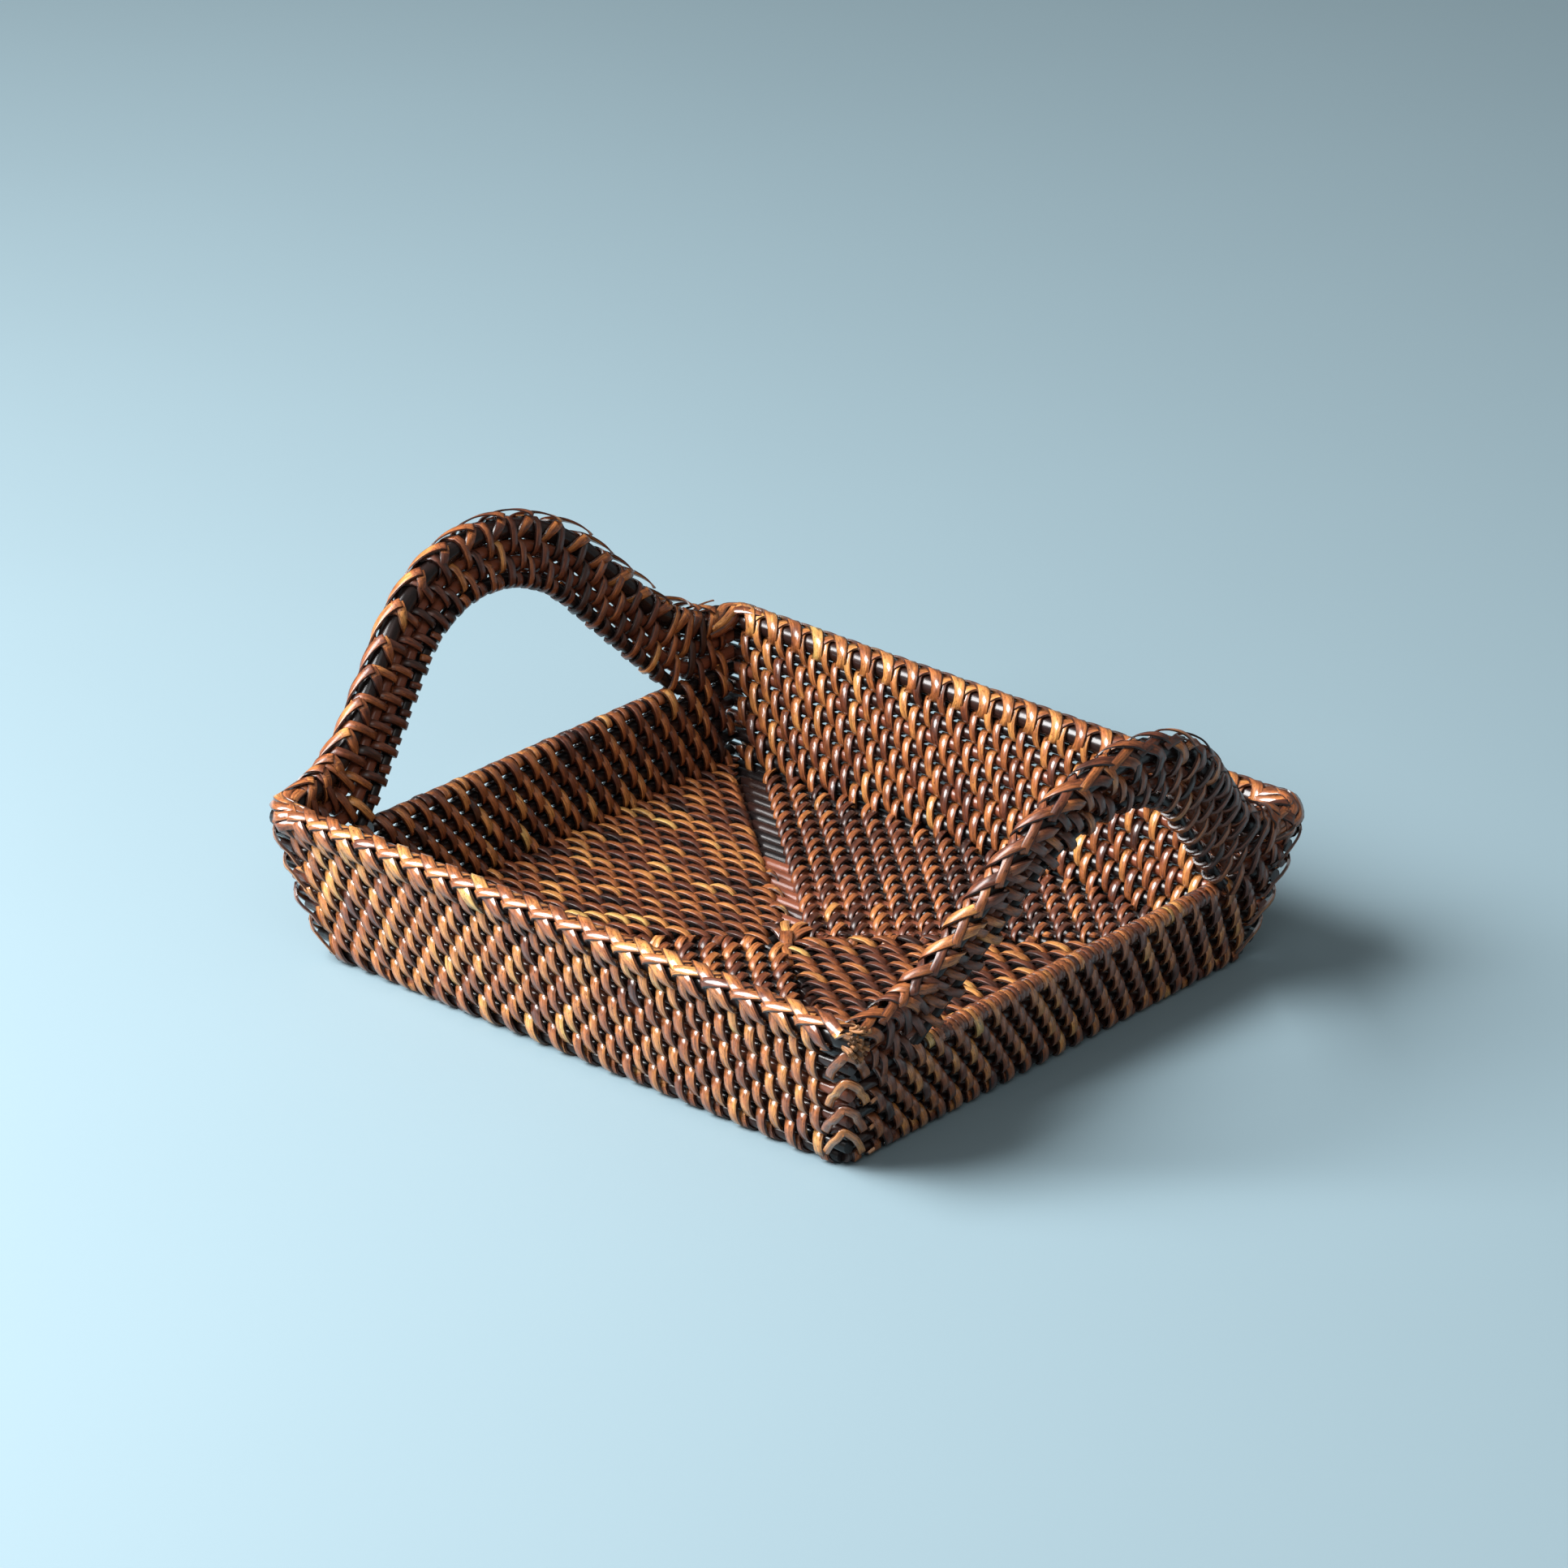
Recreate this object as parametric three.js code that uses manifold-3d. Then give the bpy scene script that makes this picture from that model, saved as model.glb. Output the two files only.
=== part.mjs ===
// A shallow rattan serving tray: flared walls of round core rods laid in courses and bound by flat
// peel weavers, a mitred base, a thick rim rod under a plaited border, and a hoop handle that grows
// out of each end wall. Millimetres and degrees, +Z up, origin at the middle of the underside.
import * as THREE from "three";
import { mergeVertices } from "three/addons/utils/BufferGeometryUtils.js";
import Module from "manifold-3d";

const wasm = await Module();
wasm.setup();

// Driving dimensions
const bottomLength = 229;
const bottomWidth = 205;
const flareAngle = 14;
const rodDiameter = 4.4;
const rodPitch = 5.6;
const wallRodCount = 8;
const lowRodCount = 5;
const firstCourseRise = 5.0;
const rimRodDiameter = 7;
const weaverWidth = 3.1;
const weaverThickness = 0.9;
const seatGap = 0.3;
const longWeaverCount = 42;
const endWeaverCount = 38;
const baseRodCount = 20;
const seamWidth = 3;
const sleeveThickness = 1.2;
const rodFlat = 0.7;
const borderWidth = 5.4;
const borderThickness = 2;
const borderWave = 1.3;
const plaitPitch = 7;
const hoopHalfSpan = 79;
const flankAngle = 47.5;
const crownRadius = 50;
const innerFootRadius = 9;
const outerFootRadius = 50;
const hoopRodCount = 3;
const hoopWeaverPitch = 5.6;
const edgeOverhang = 2.6;
const fanLength = 40;
const laceThickness = 1.2;
const laceSwell = 1.5;
const tieLength = 16;
const tieWidth = 4;
const tieRise = 1.2;

// Sizes that follow from them
const degree = Math.PI / 180;
const rightAngle = Math.PI / 2;
const flare = flareAngle * degree;
const flank = flankAngle * degree;
const rodRadius = rodDiameter / 2;
const rimRadius = rimRodDiameter / 2;
const weaverOffset = rodRadius + seatGap + weaverThickness / 2;
const wallHalf = rodRadius + seatGap + weaverThickness;
const baseMiddle = wallHalf;
const baseTop = 2 * wallHalf;
const midInset = wallHalf / Math.cos(flare);
const firstCourse = (baseMiddle + firstCourseRise) / Math.cos(flare);
const baseSlant = baseMiddle / Math.cos(flare);
const rimCourse = courseHeight(wallRodCount - 1) + rodRadius + seatGap + rimRadius;
const sleeveInner = rimRadius + seatGap;
const sleeveMiddle = sleeveInner + sleeveThickness / 2;
const sleeveOuter = sleeveInner + sleeveThickness;
const railCourse = courseHeight(lowRodCount);
const railSleeveInner = rodRadius + seatGap;
const railSleeveOuter = railSleeveInner + sleeveThickness;
const railReach =
  hoopHalfSpan - (edgeOverhang + seatGap) / Math.sin(flank) - railSleeveOuter / Math.tan(flank);
const rimRise = rimCourse - railCourse;
const flankTop = (hoopHalfSpan - crownRadius * Math.sin(flank)) * Math.tan(flank);
const crownCentre = railCourse + flankTop - crownRadius * Math.cos(flank);
const laceInner = rodRadius * Math.SQRT2 + seatGap;
const laceOuter = laceInner + laceThickness;
const longSide = { bottom: bottomLength, across: bottomWidth, weavers: longWeaverCount };
const endSide = { bottom: bottomWidth, across: bottomLength, weavers: endWeaverCount };

// Numbers of flat faces that stand for the rounds
const rodSides = 8;
const hoopSides = 6;
const hoodSides = 4;
const hoopSteps = 16;
const footSteps = 3;
const crownSteps = 5;
const tieSteps = 6;

// Colours and gloss of the lacquered core, the peel and the plait
const coreColour = { color: 0x241713, roughness: 0.32, metalness: 0 };
const peelColour = { color: 0x8f4f24, roughness: 0.38, metalness: 0 };
const borderColour = { color: 0xa05a28, roughness: 0.35, metalness: 0 };
const wrapColour = { color: 0x6f3a22, roughness: 0.42, metalness: 0 };

// Slant height of a course of rods above the bottom edge.
function courseHeight(course) {
  return firstCourse + course * rodPitch;
}

// Half the length of a side, corner to corner on the middle of its neighbours, at a slant height.
function halfAt(side, slant) {
  return side.bottom / 2 - midInset + slant * Math.sin(flare);
}

function meshOf(name, geometry, look) {
  const mesh = new THREE.Mesh(geometry, new THREE.MeshStandardMaterial(look));
  mesh.name = name;
  return mesh;
}

function solidOf(geometry) {
  const bare = geometry.index ? geometry.toNonIndexed() : geometry.clone();
  bare.deleteAttribute("normal");
  bare.deleteAttribute("uv");
  const merged = mergeVertices(bare, 1e-4);
  const vertProperties = new Float32Array(merged.attributes.position.array);
  const triVerts = new Uint32Array(merged.index.array);
  return new wasm.Manifold(new wasm.Mesh({ numProp: 3, vertProperties, triVerts }));
}

function geometryOf(solid) {
  const made = solid.getMesh();
  const geometry = new THREE.BufferGeometry();
  geometry.setAttribute("position", new THREE.BufferAttribute(made.vertProperties, 3));
  geometry.setIndex(new THREE.BufferAttribute(made.triVerts, 1));
  geometry.computeVertexNormals();
  return geometry;
}

function joined(geometries) {
  return geometryOf(geometries.map(solidOf).reduce((whole, next) => whole.add(next)));
}

function cornersOf(outline) {
  return outline.map(([a, b]) => new THREE.Vector2(a, b));
}

// A closed solid swept through stations. Each section point [a, b] lies a along the station's side
// and b along its out.
function sweep(outline, stations) {
  const section = THREE.ShapeUtils.isClockWise(cornersOf(outline)) ? outline.slice().reverse() : outline;
  const positions = [];
  for (const { at, side, out } of stations)
    for (const [a, b] of section) {
      const point = at.clone().addScaledVector(side, a).addScaledVector(out, b);
      positions.push(point.x, point.y, point.z);
    }
  const ring = section.length;
  const index = [];
  for (let station = 0; station + 1 < stations.length; station++)
    for (let point = 0; point < ring; point++) {
      const here = station * ring + point;
      const beside = station * ring + ((point + 1) % ring);
      index.push(here, beside, beside + ring, here, beside + ring, here + ring);
    }
  const last = (stations.length - 1) * ring;
  for (const [a, b, c] of THREE.ShapeUtils.triangulateShape(cornersOf(section), []))
    index.push(a, c, b, last + a, last + b, last + c);
  const geometry = new THREE.BufferGeometry();
  geometry.setAttribute("position", new THREE.Float32BufferAttribute(positions, 3));
  geometry.setIndex(facingOut(positions, index));
  geometry.computeVertexNormals();
  return geometry;
}

// The same triangles, turned round where they enclose a negative volume.
function facingOut(positions, index) {
  const corner = (i) => new THREE.Vector3(...positions.slice(3 * i, 3 * i + 3));
  let volume = 0;
  for (let i = 0; i < index.length; i += 3)
    volume += corner(index[i]).dot(corner(index[i + 1]).cross(corner(index[i + 2])));
  return volume > 0 ? index : index.slice().reverse();
}

function roundSection(radius, sides) {
  return Array.from({ length: sides }, (_, i) => {
    const angle = ((i + 0.5) * 2 * Math.PI) / sides;
    return [radius * Math.cos(angle), radius * Math.sin(angle)];
  });
}

function flatSection(width, thickness) {
  const a = width / 2;
  const b = thickness / 2;
  return [[-a, -b], [a, -b], [a, b], [-a, b]];
}

// The skin of weaver turns over a round rod, with a leg down to each face of the weave below it.
function hoodSection(inner, outer, legDrop) {
  const angles = Array.from({ length: hoodSides + 1 }, (_, i) => (i * Math.PI) / hoodSides);
  const arc = (radius) => angles.map((angle) => [radius * Math.sin(angle), radius * Math.cos(angle)]);
  const clear = inner / Math.cos(Math.PI / hoodSides / 2);
  const leg = legDrop > 0 ? [[-legDrop, wallHalf - weaverThickness], [-legDrop, wallHalf]] : [];
  const farLeg = leg.map(([a, b]) => [a, -b]).reverse();
  return [...leg, ...arc(outer), ...farLeg, ...arc(clear).reverse()];
}

const alongX = new THREE.Vector3(1, 0, 0);
const alongY = new THREE.Vector3(0, 1, 0);
const alongZ = new THREE.Vector3(0, 0, 1);

// In a wall's own frame x runs along the wall, y up its slope and z straight out of its outer face.
function wallFrame(side, quarterTurns) {
  const turn = new THREE.Group();
  turn.rotation.z = quarterTurns * rightAngle;
  const tilt = new THREE.Group();
  tilt.position.y = midInset - side.across / 2;
  tilt.rotation.x = rightAngle + flare;
  turn.add(tilt);
  return { turn, tilt };
}

function straightRod(name, radius, halfLength, slant) {
  const geometry = new THREE.CylinderGeometry(radius, radius, 2 * halfLength, rodSides);
  const rod = meshOf(name, geometry, coreColour);
  rod.rotation.z = rightAngle;
  rod.position.y = slant;
  return rod;
}

// Places of the weavers along a side, at its bottom edge, by turns outside and inside the rods.
function weaverPlaces(side) {
  const reach = halfAt(side, 0) - wallHalf - weaverWidth;
  const step = (2 * reach) / (side.weavers - 1);
  return Array.from({ length: side.weavers }, (_, i) => ({ at: i * step - reach, outside: i % 2 === 0 }));
}

// Where a weaver that fans out with its side has come to at a slant height.
function fanned(side, at, slant) {
  return (at * halfAt(side, slant)) / halfAt(side, 0);
}

// Slant height of a weaver's foot, just clear of the strips under or over the base.
function footOf(outside) {
  const outsideFoot = weaverThickness + seatGap + wallHalf * Math.sin(flare);
  const insideFoot = baseTop + seatGap - (wallHalf - weaverThickness) * Math.sin(flare);
  return (outside ? outsideFoot : insideFoot) / Math.cos(flare);
}

// The weavers on one face of a wall, hanging side by side from a band under the skin.
function hangingComb(side, places, outside, halfLength, top) {
  const root = top - weaverThickness;
  const foot = footOf(outside);
  const half = weaverWidth / 2;
  const teeth = places
    .filter((place) => place.outside === outside)
    .flatMap(({ at }) => {
      const high = fanned(side, at, root);
      const low = fanned(side, at, foot);
      return [[high - half, root], [low - half, foot], [low + half, foot], [high + half, root]];
    });
  const band = [[halfLength, root], [halfLength, top], [-halfLength, top], [-halfLength, root]];
  const shape = new THREE.Shape(cornersOf([...teeth, ...band]));
  const comb = new THREE.ExtrudeGeometry(shape, { depth: weaverThickness, bevelEnabled: false });
  return comb.translate(0, 0, outside ? wallHalf - weaverThickness : -wallHalf);
}

// The weave of a straight wall: a skin over its top rod and the weavers that hang from it.
function wallWeave(side, places, halfLength, slant, inner, outer) {
  const legDrop = Math.sqrt(inner * inner - railSleeveInner * railSleeveInner) + 2 * weaverThickness;
  const ends = [-halfLength, halfLength].map((x) => ({
    at: new THREE.Vector3(x, slant, 0),
    side: alongY,
    out: alongZ,
  }));
  const skin = sweep(hoodSection(inner, outer, legDrop), ends);
  const top = slant - legDrop + weaverThickness;
  const combs = [true, false].map((outside) => hangingComb(side, places, outside, halfLength, top));
  return joined([skin, ...combs]);
}

// The plaited border: a flat bar over the rim that winds from side to side.
function plait(stations) {
  const waves = stations.map(({ at, side, out }, i) => {
    const swing = (i % 2 === 0 ? 1 : -1) * borderWave;
    return { at: at.clone().addScaledVector(out, swing), side, out };
  });
  const middle = sleeveOuter + seatGap + borderThickness / 2;
  const section = flatSection(borderThickness, borderWidth).map(([a, b]) => [a + middle, b]);
  return sweep(section, waves);
}

// A front or back wall: its courses, the thick rod of its rim, its weavers and its border.
function longWall(word, quarterTurns) {
  const { turn, tilt } = wallFrame(longSide, quarterTurns);
  for (let course = 0; course < wallRodCount; course++) {
    const slant = courseHeight(course);
    const half = halfAt(longSide, slant) + rodRadius;
    tilt.add(straightRod(`${word}_rod_${course + 1}`, rodRadius, half, slant));
  }
  const rimHalf = halfAt(longSide, rimCourse) + rimRadius;
  tilt.add(straightRod(`${word}_rim_rod`, rimRadius, rimHalf, rimCourse));

  const skinHalf = halfAt(longSide, rimCourse) - sleeveOuter - seatGap;
  const places = weaverPlaces(longSide);
  const weave = wallWeave(longSide, places, skinHalf, rimCourse, sleeveInner, sleeveOuter);
  tilt.add(meshOf(`${word}_weave`, weave, peelColour));

  const turns = Math.round((2 * rimHalf) / plaitPitch);
  const stations = Array.from({ length: turns + 1 }, (_, i) => ({
    at: new THREE.Vector3(((2 * i) / turns - 1) * rimHalf, rimCourse, 0),
    side: alongY,
    out: alongZ,
  }));
  tilt.add(meshOf(`${word}_border`, plait(stations), borderColour));
  return turn;
}

// Half of a hoop line in the wall's plane, from the corner to the top: along its course, round a
// foot, up a straight flank and over a round crown. A line's rise is how far it lies outside the
// innermost one, and its angle is how steeply it climbs.
function halfHoop(rise, endInset) {
  const course = railCourse + rise;
  const end = halfAt(endSide, course) - endInset;
  const footAt = hoopHalfSpan + rise / Math.sin(flank) - rise / Math.tan(flank);
  const footRadius = innerFootRadius + (outerFootRadius - innerFootRadius) * (rise / rimRise);
  const tangent = Math.min(footRadius * Math.tan(flank / 2), end - footAt - seatGap);
  const bend = tangent / Math.tan(flank / 2);
  const points = [{ x: end, y: course, angle: 0 }];
  for (let i = 0; i <= footSteps; i++) {
    const angle = (flank * i) / footSteps;
    const x = footAt + tangent - bend * Math.sin(angle);
    points.push({ x, y: course + bend * (1 - Math.cos(angle)), angle });
  }
  for (let i = 0; i <= crownSteps; i++) {
    const angle = flank * (1 - i / crownSteps);
    const radius = crownRadius + rise;
    points.push({ x: radius * Math.sin(angle), y: crownCentre + radius * Math.cos(angle), angle });
  }
  return points;
}

function wholeHoop(half) {
  const mirrored = half.slice(0, -1).reverse();
  return [...half, ...mirrored.map(({ x, y, angle }) => ({ x: -x, y, angle: -angle }))];
}

function spans(line) {
  return line.slice(1).map((point, i) => Math.hypot(point.x - line[i].x, point.y - line[i].y));
}

function lengthOf(line) {
  return spans(line).reduce((sum, span) => sum + span, 0);
}

// The point of a line at a distance from its first end.
function pointAt(line, distance) {
  const steps = spans(line);
  let left = distance;
  let step = 0;
  while (step < steps.length - 1 && left > steps[step]) {
    left -= steps[step];
    step += 1;
  }
  const part = left / steps[step];
  const mix = (key) => line[step][key] + part * (line[step + 1][key] - line[step][key]);
  return { x: mix("x"), y: mix("y"), angle: mix("angle") };
}

// How far along a half hoop it passes over a place of the wall below it.
function distanceOver(line, x) {
  const steps = spans(line);
  let distance = 0;
  for (let step = 0; step < steps.length; step++) {
    if (line[step + 1].x <= x)
      return distance + (steps[step] * (line[step].x - x)) / (line[step].x - line[step + 1].x);
    distance += steps[step];
  }
  return distance;
}

// Distance from a point to a line, going up and outwards at an angle from straight up.
function reachTo(line, from, angle) {
  const across = (point) => (point.x - from.x) * Math.cos(angle) - (point.y - from.y) * Math.sin(angle);
  const ahead = (point) => (point.x - from.x) * Math.sin(angle) + (point.y - from.y) * Math.cos(angle);
  for (let step = 0; step + 1 < line.length; step++) {
    const here = across(line[step]);
    const next = across(line[step + 1]);
    if (here * next > 0) continue;
    const share = here / (here - next);
    return ahead(line[step]) + share * (ahead(line[step + 1]) - ahead(line[step]));
  }
  return rimRise;
}

function stationOn({ x, y, angle }) {
  return {
    at: new THREE.Vector3(x, y, 0),
    side: new THREE.Vector3(Math.sin(angle), Math.cos(angle), 0),
    out: alongZ,
  };
}

function hoopTube(name, radius, line) {
  const section = new THREE.Shape(cornersOf(roundSection(radius, hoopSides)));
  const path = new THREE.CatmullRomCurve3(line.map(({ x, y }) => new THREE.Vector3(x, y, 0)));
  const tube = new THREE.ExtrudeGeometry(section, { steps: hoopSteps, extrudePath: path });
  return meshOf(name, tube, coreColour);
}

// Distance along a half hoop at which it starts to climb.
function footStart(line) {
  return spans(line)[0];
}

// Where a weaver that fans out with its wall meets a half hoop.
function crossingOf(line, at) {
  const low = fanned(endSide, at, railCourse);
  return fanned(endSide, at, pointAt(line, distanceOver(line, low)).y);
}

// One weaver across the band of a hoop. Near the corner it comes up from the base, further on it
// starts at the inner edge, and its lean turns with the hoop.
function hoopWeaver(hand, distance, outside, foot, core, rim) {
  const face = outside ? 1 : -1;
  const start = pointAt(core, distance);
  const turned = ((distance - footStart(core)) / fanLength) * flank;
  const lean = Math.max(0, Math.min(start.angle, turned));
  const reach = reachTo(rim, start, lean);
  const along = (rise, offset, angle) => ({
    at: new THREE.Vector3(
      hand * (start.x + rise * Math.sin(lean)),
      start.y + rise * Math.cos(lean),
      face * offset,
    ),
    side: new THREE.Vector3(Math.cos(angle), -hand * Math.sin(angle), 0),
    out: alongZ,
  });
  const stations = [along(reach + weaverThickness, sleeveMiddle, lean)];
  if (foot) {
    const slant = footOf(outside);
    const at = new THREE.Vector3(fanned(endSide, foot.at, slant), slant, face * weaverOffset);
    stations.unshift({ at, side: alongX, out: alongZ }, along(0, weaverOffset, lean / 2));
  } else stations.unshift(along(-edgeOverhang, weaverOffset, lean));
  return sweep(flatSection(weaverWidth, weaverThickness), stations);
}

function hoopWeave(core, rim) {
  const skin = sweep(hoodSection(sleeveInner, sleeveOuter, 0), wholeHoop(rim).map(stationOn));
  const strips = [];
  for (const hand of [-1, 1]) {
    const footed = weaverPlaces(endSide)
      .filter((place) => hand * place.at > 0 && !onRail(place))
      .sort((one, other) => Math.abs(other.at) - Math.abs(one.at));
    const over = ({ at }) => distanceOver(core, crossingOf(core, Math.abs(at)));
    for (const place of footed)
      strips.push(hoopWeaver(hand, over(place), place.outside, place, core, rim));
    const last = footed.at(-1);
    const rest = lengthOf(core) - over(last);
    const count = Math.round(rest / hoopWeaverPitch - 0.5);
    for (let i = 1; i <= count; i++) {
      const distance = over(last) + (i * rest) / (count + 0.5);
      const outside = i % 2 === 0 ? last.outside : !last.outside;
      strips.push(hoopWeaver(hand, distance, outside, null, core, rim));
    }
  }
  return joined([skin, ...strips]);
}

// Whether a weaver of an end wall passes under the opening and so ends on the wrapped rail.
function onRail({ at }) {
  return Math.abs(fanned(endSide, at, railCourse)) + weaverWidth / 2 < railReach;
}

// Half the length of the rail, up to the first weavers that run on up into the hoop.
function railHalf() {
  const beyond = weaverPlaces(endSide).filter((place) => !onRail(place));
  const nearest = Math.min(...beyond.map(({ at }) => Math.abs(fanned(endSide, at, railCourse))));
  return Math.min(railReach, nearest - weaverWidth / 2 - seatGap);
}

// An end wall: low courses, the wrapped rail under the opening, and the hoop of the handle.
function endWall(word, quarterTurns) {
  const { turn, tilt } = wallFrame(endSide, quarterTurns);
  for (let course = 0; course < lowRodCount; course++) {
    const slant = courseHeight(course);
    const half = halfAt(endSide, slant) - rodRadius - seatGap;
    tilt.add(straightRod(`${word}_rod_${course + 1}`, rodRadius, half, slant));
  }
  tilt.add(straightRod(`${word}_rail`, rodRadius, railHalf(), railCourse));

  const places = weaverPlaces(endSide).filter(onRail);
  const weave = wallWeave(endSide, places, railHalf(), railCourse, railSleeveInner, railSleeveOuter);
  tilt.add(meshOf(`${word}_weave`, weave, peelColour));

  for (let line = 0; line < hoopRodCount; line++) {
    const half = halfHoop(line * rodPitch, rodRadius + seatGap);
    tilt.add(hoopTube(`${word}_hoop_rod_${line + 1}`, rodRadius, wholeHoop(half)));
  }
  const core = halfHoop(0, rodRadius + seatGap);
  const rim = halfHoop(rimRise, rimRadius + seatGap);
  tilt.add(hoopTube(`${word}_rim_hoop`, rimRadius, wholeHoop(rim)));
  tilt.add(meshOf(`${word}_handle_weave`, hoopWeave(core, rim), peelColour));

  const inset = borderWidth / 2 + borderWave - rimRadius;
  const line = wholeHoop(rim);
  const run = lengthOf(line) - 2 * inset;
  const turns = Math.round(run / plaitPitch);
  const stations = Array.from({ length: turns + 1 }, (_, i) =>
    stationOn(pointAt(line, inset + (i * run) / turns)),
  );
  tilt.add(meshOf(`${word}_border`, plait(stations), borderColour));
  return turn;
}

// The lacing round a corner: turns that bulge between every second course and draw in at the others.
function cornerLacing(name, signX, signY) {
  const angles = [-20, 23, 67, 110].map((angle) => angle * degree);
  const arc = (radius) => angles.map((angle) => [radius * Math.cos(angle), radius * Math.sin(angle)]);
  const section = [...arc(laceOuter), ...arc(laceInner).reverse()];
  const low = footOf(true) + seatGap;
  const high = courseHeight(wallRodCount - 1) + rodRadius;
  const turns = Math.round((high - low) / rodPitch);
  const stations = Array.from({ length: turns + 1 }, (_, i) => {
    const slant = low + (i * (high - low)) / turns;
    const swell = i % 2 === 0 ? laceSwell : 1;
    return {
      at: new THREE.Vector3(
        signX * halfAt(longSide, slant),
        signY * halfAt(endSide, slant),
        slant * Math.cos(flare),
      ),
      side: new THREE.Vector3(signX * swell, 0, 0),
      out: new THREE.Vector3(0, signY * swell, 0),
    };
  });
  return meshOf(name, sweep(section, stations), wrapColour);
}

// A quarter of the base: rods side by side, parallel to their wall and mitred at the seams.
function baseRods(word, side, quarterTurns) {
  const away = awayAt(side);
  const pitch = away / baseRodCount;
  const ridge = [[pitch / 2, rodFlat]];
  for (let rod = 1; rod <= baseRodCount; rod++) {
    const shoulder = rod < baseRodCount ? pitch / 2 : rodRadius;
    ridge.push([rod * pitch, rodRadius], [rod * pitch + shoulder, rodFlat]);
  }
  const under = ridge.map(([u, v]) => [u, -v]).reverse();
  const profile = new THREE.Shape(cornersOf([...ridge, ...under]));
  const half = side.bottom / 2;
  const rods = new THREE.ExtrudeGeometry(profile, { depth: 2 * half, bevelEnabled: false });
  const lay = new THREE.Matrix4().makeBasis(alongY.clone().negate(), alongZ, alongX.clone().negate());
  rods.applyMatrix4(lay.setPosition(half, 0, baseMiddle));

  const along = halfAt(side, baseSlant);
  const tip = (seamWidth / 2 + seatGap) * (Math.hypot(along, away) / along);
  const far = side.across / 2;
  const wide = ((far - tip) * along) / away;
  const corner = new THREE.Shape(cornersOf([[0, -tip], [wide, -far], [-wide, -far]]));
  const mitre = new THREE.ExtrudeGeometry(corner, { depth: baseTop, bevelEnabled: false });
  const geometry = geometryOf(solidOf(rods).intersect(solidOf(mitre)));
  const mesh = meshOf(`${word}_base_rods`, geometry, coreColour);
  mesh.rotation.z = quarterTurns * rightAngle;
  return mesh;
}

// Distance from the middle of the base to its edge rod on a side.
function awayAt(side) {
  return side.across / 2 - midInset + baseSlant * Math.sin(flare);
}

// The weave of the base: strips over and under the rods, from the two crossing seams to the edges.
function baseWeave() {
  const alongHalf = halfAt(longSide, baseSlant);
  const acrossHalf = halfAt(endSide, baseSlant);
  const seamHalf = Math.hypot(alongHalf, acrossHalf) * (1 - wallHalf / acrossHalf);
  const slope = Math.atan2(acrossHalf, alongHalf);
  const strips = [slope, -slope].map((angle) =>
    new THREE.BoxGeometry(2 * seamHalf, seamWidth, baseTop).rotateZ(angle).translate(0, 0, baseMiddle),
  );
  for (const [quarterTurns, side] of [longSide, endSide, longSide, endSide].entries()) {
    const away = awayAt(side);
    for (const { at, outside } of weaverPlaces(side)) {
      const start = (Math.abs(at) * away) / halfAt(side, baseSlant);
      const end = outside ? side.across / 2 : away - rodRadius;
      const height = outside ? weaverThickness / 2 : baseTop - weaverThickness / 2;
      const strip = new THREE.BoxGeometry(weaverWidth, end - start, weaverThickness);
      strip.translate(at, -(start + end) / 2, height);
      strips.push(strip.rotateZ(quarterTurns * rightAngle));
    }
  }
  return meshOf("base_weave", joined(strips), peelColour);
}

// A short strip that ties the crossing of the seams, arched over the middle of the base.
function centreTie() {
  const half = tieLength / 2;
  const outer = new THREE.Shape();
  outer.moveTo(-half, 0);
  outer.quadraticCurveTo(0, 2 * tieRise, half, 0);
  outer.lineTo(half, weaverThickness);
  outer.quadraticCurveTo(0, 2 * tieRise + weaverThickness, -half, weaverThickness);
  outer.closePath();
  const settings = { depth: tieWidth, bevelEnabled: false, curveSegments: tieSteps };
  const strip = new THREE.ExtrudeGeometry(outer, settings);
  const tie = meshOf("centre_tie", strip.translate(0, 0, -tieWidth / 2), wrapColour);
  tie.rotation.x = rightAngle;
  tie.position.z = baseTop + seatGap;
  const turn = new THREE.Group();
  turn.rotation.z = -Math.atan2(awayAt(longSide), awayAt(endSide));
  turn.add(tie);
  return turn;
}

const tray = new THREE.Group();
tray.add(longWall("front", 0), longWall("back", 2));
tray.add(endWall("right", 1), endWall("left", 3));
tray.add(cornerLacing("front_left_lacing", -1, -1), cornerLacing("front_right_lacing", 1, -1));
tray.add(cornerLacing("back_left_lacing", -1, 1), cornerLacing("back_right_lacing", 1, 1));
tray.add(baseRods("front", longSide, 0), baseRods("right", endSide, 1));
tray.add(baseRods("back", longSide, 2), baseRods("left", endSide, 3));
tray.add(baseWeave(), centreTie());

export default tray;
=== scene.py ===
import math
import bpy
import numpy as np
from mathutils import Matrix


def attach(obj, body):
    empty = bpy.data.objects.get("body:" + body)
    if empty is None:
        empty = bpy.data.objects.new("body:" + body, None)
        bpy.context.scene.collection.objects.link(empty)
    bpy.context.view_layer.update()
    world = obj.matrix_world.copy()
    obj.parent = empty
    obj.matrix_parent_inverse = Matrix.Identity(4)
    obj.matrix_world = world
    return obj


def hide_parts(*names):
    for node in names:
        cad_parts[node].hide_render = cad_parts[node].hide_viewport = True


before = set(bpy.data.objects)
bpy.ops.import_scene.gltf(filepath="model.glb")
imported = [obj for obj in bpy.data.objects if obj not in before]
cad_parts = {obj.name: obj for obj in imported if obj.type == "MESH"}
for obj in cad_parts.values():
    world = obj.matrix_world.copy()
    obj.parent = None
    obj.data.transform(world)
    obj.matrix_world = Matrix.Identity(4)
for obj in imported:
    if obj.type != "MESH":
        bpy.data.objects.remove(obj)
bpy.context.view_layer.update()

# Driving sizes, in millimetres and degrees
bottomLength = 229.0
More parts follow.
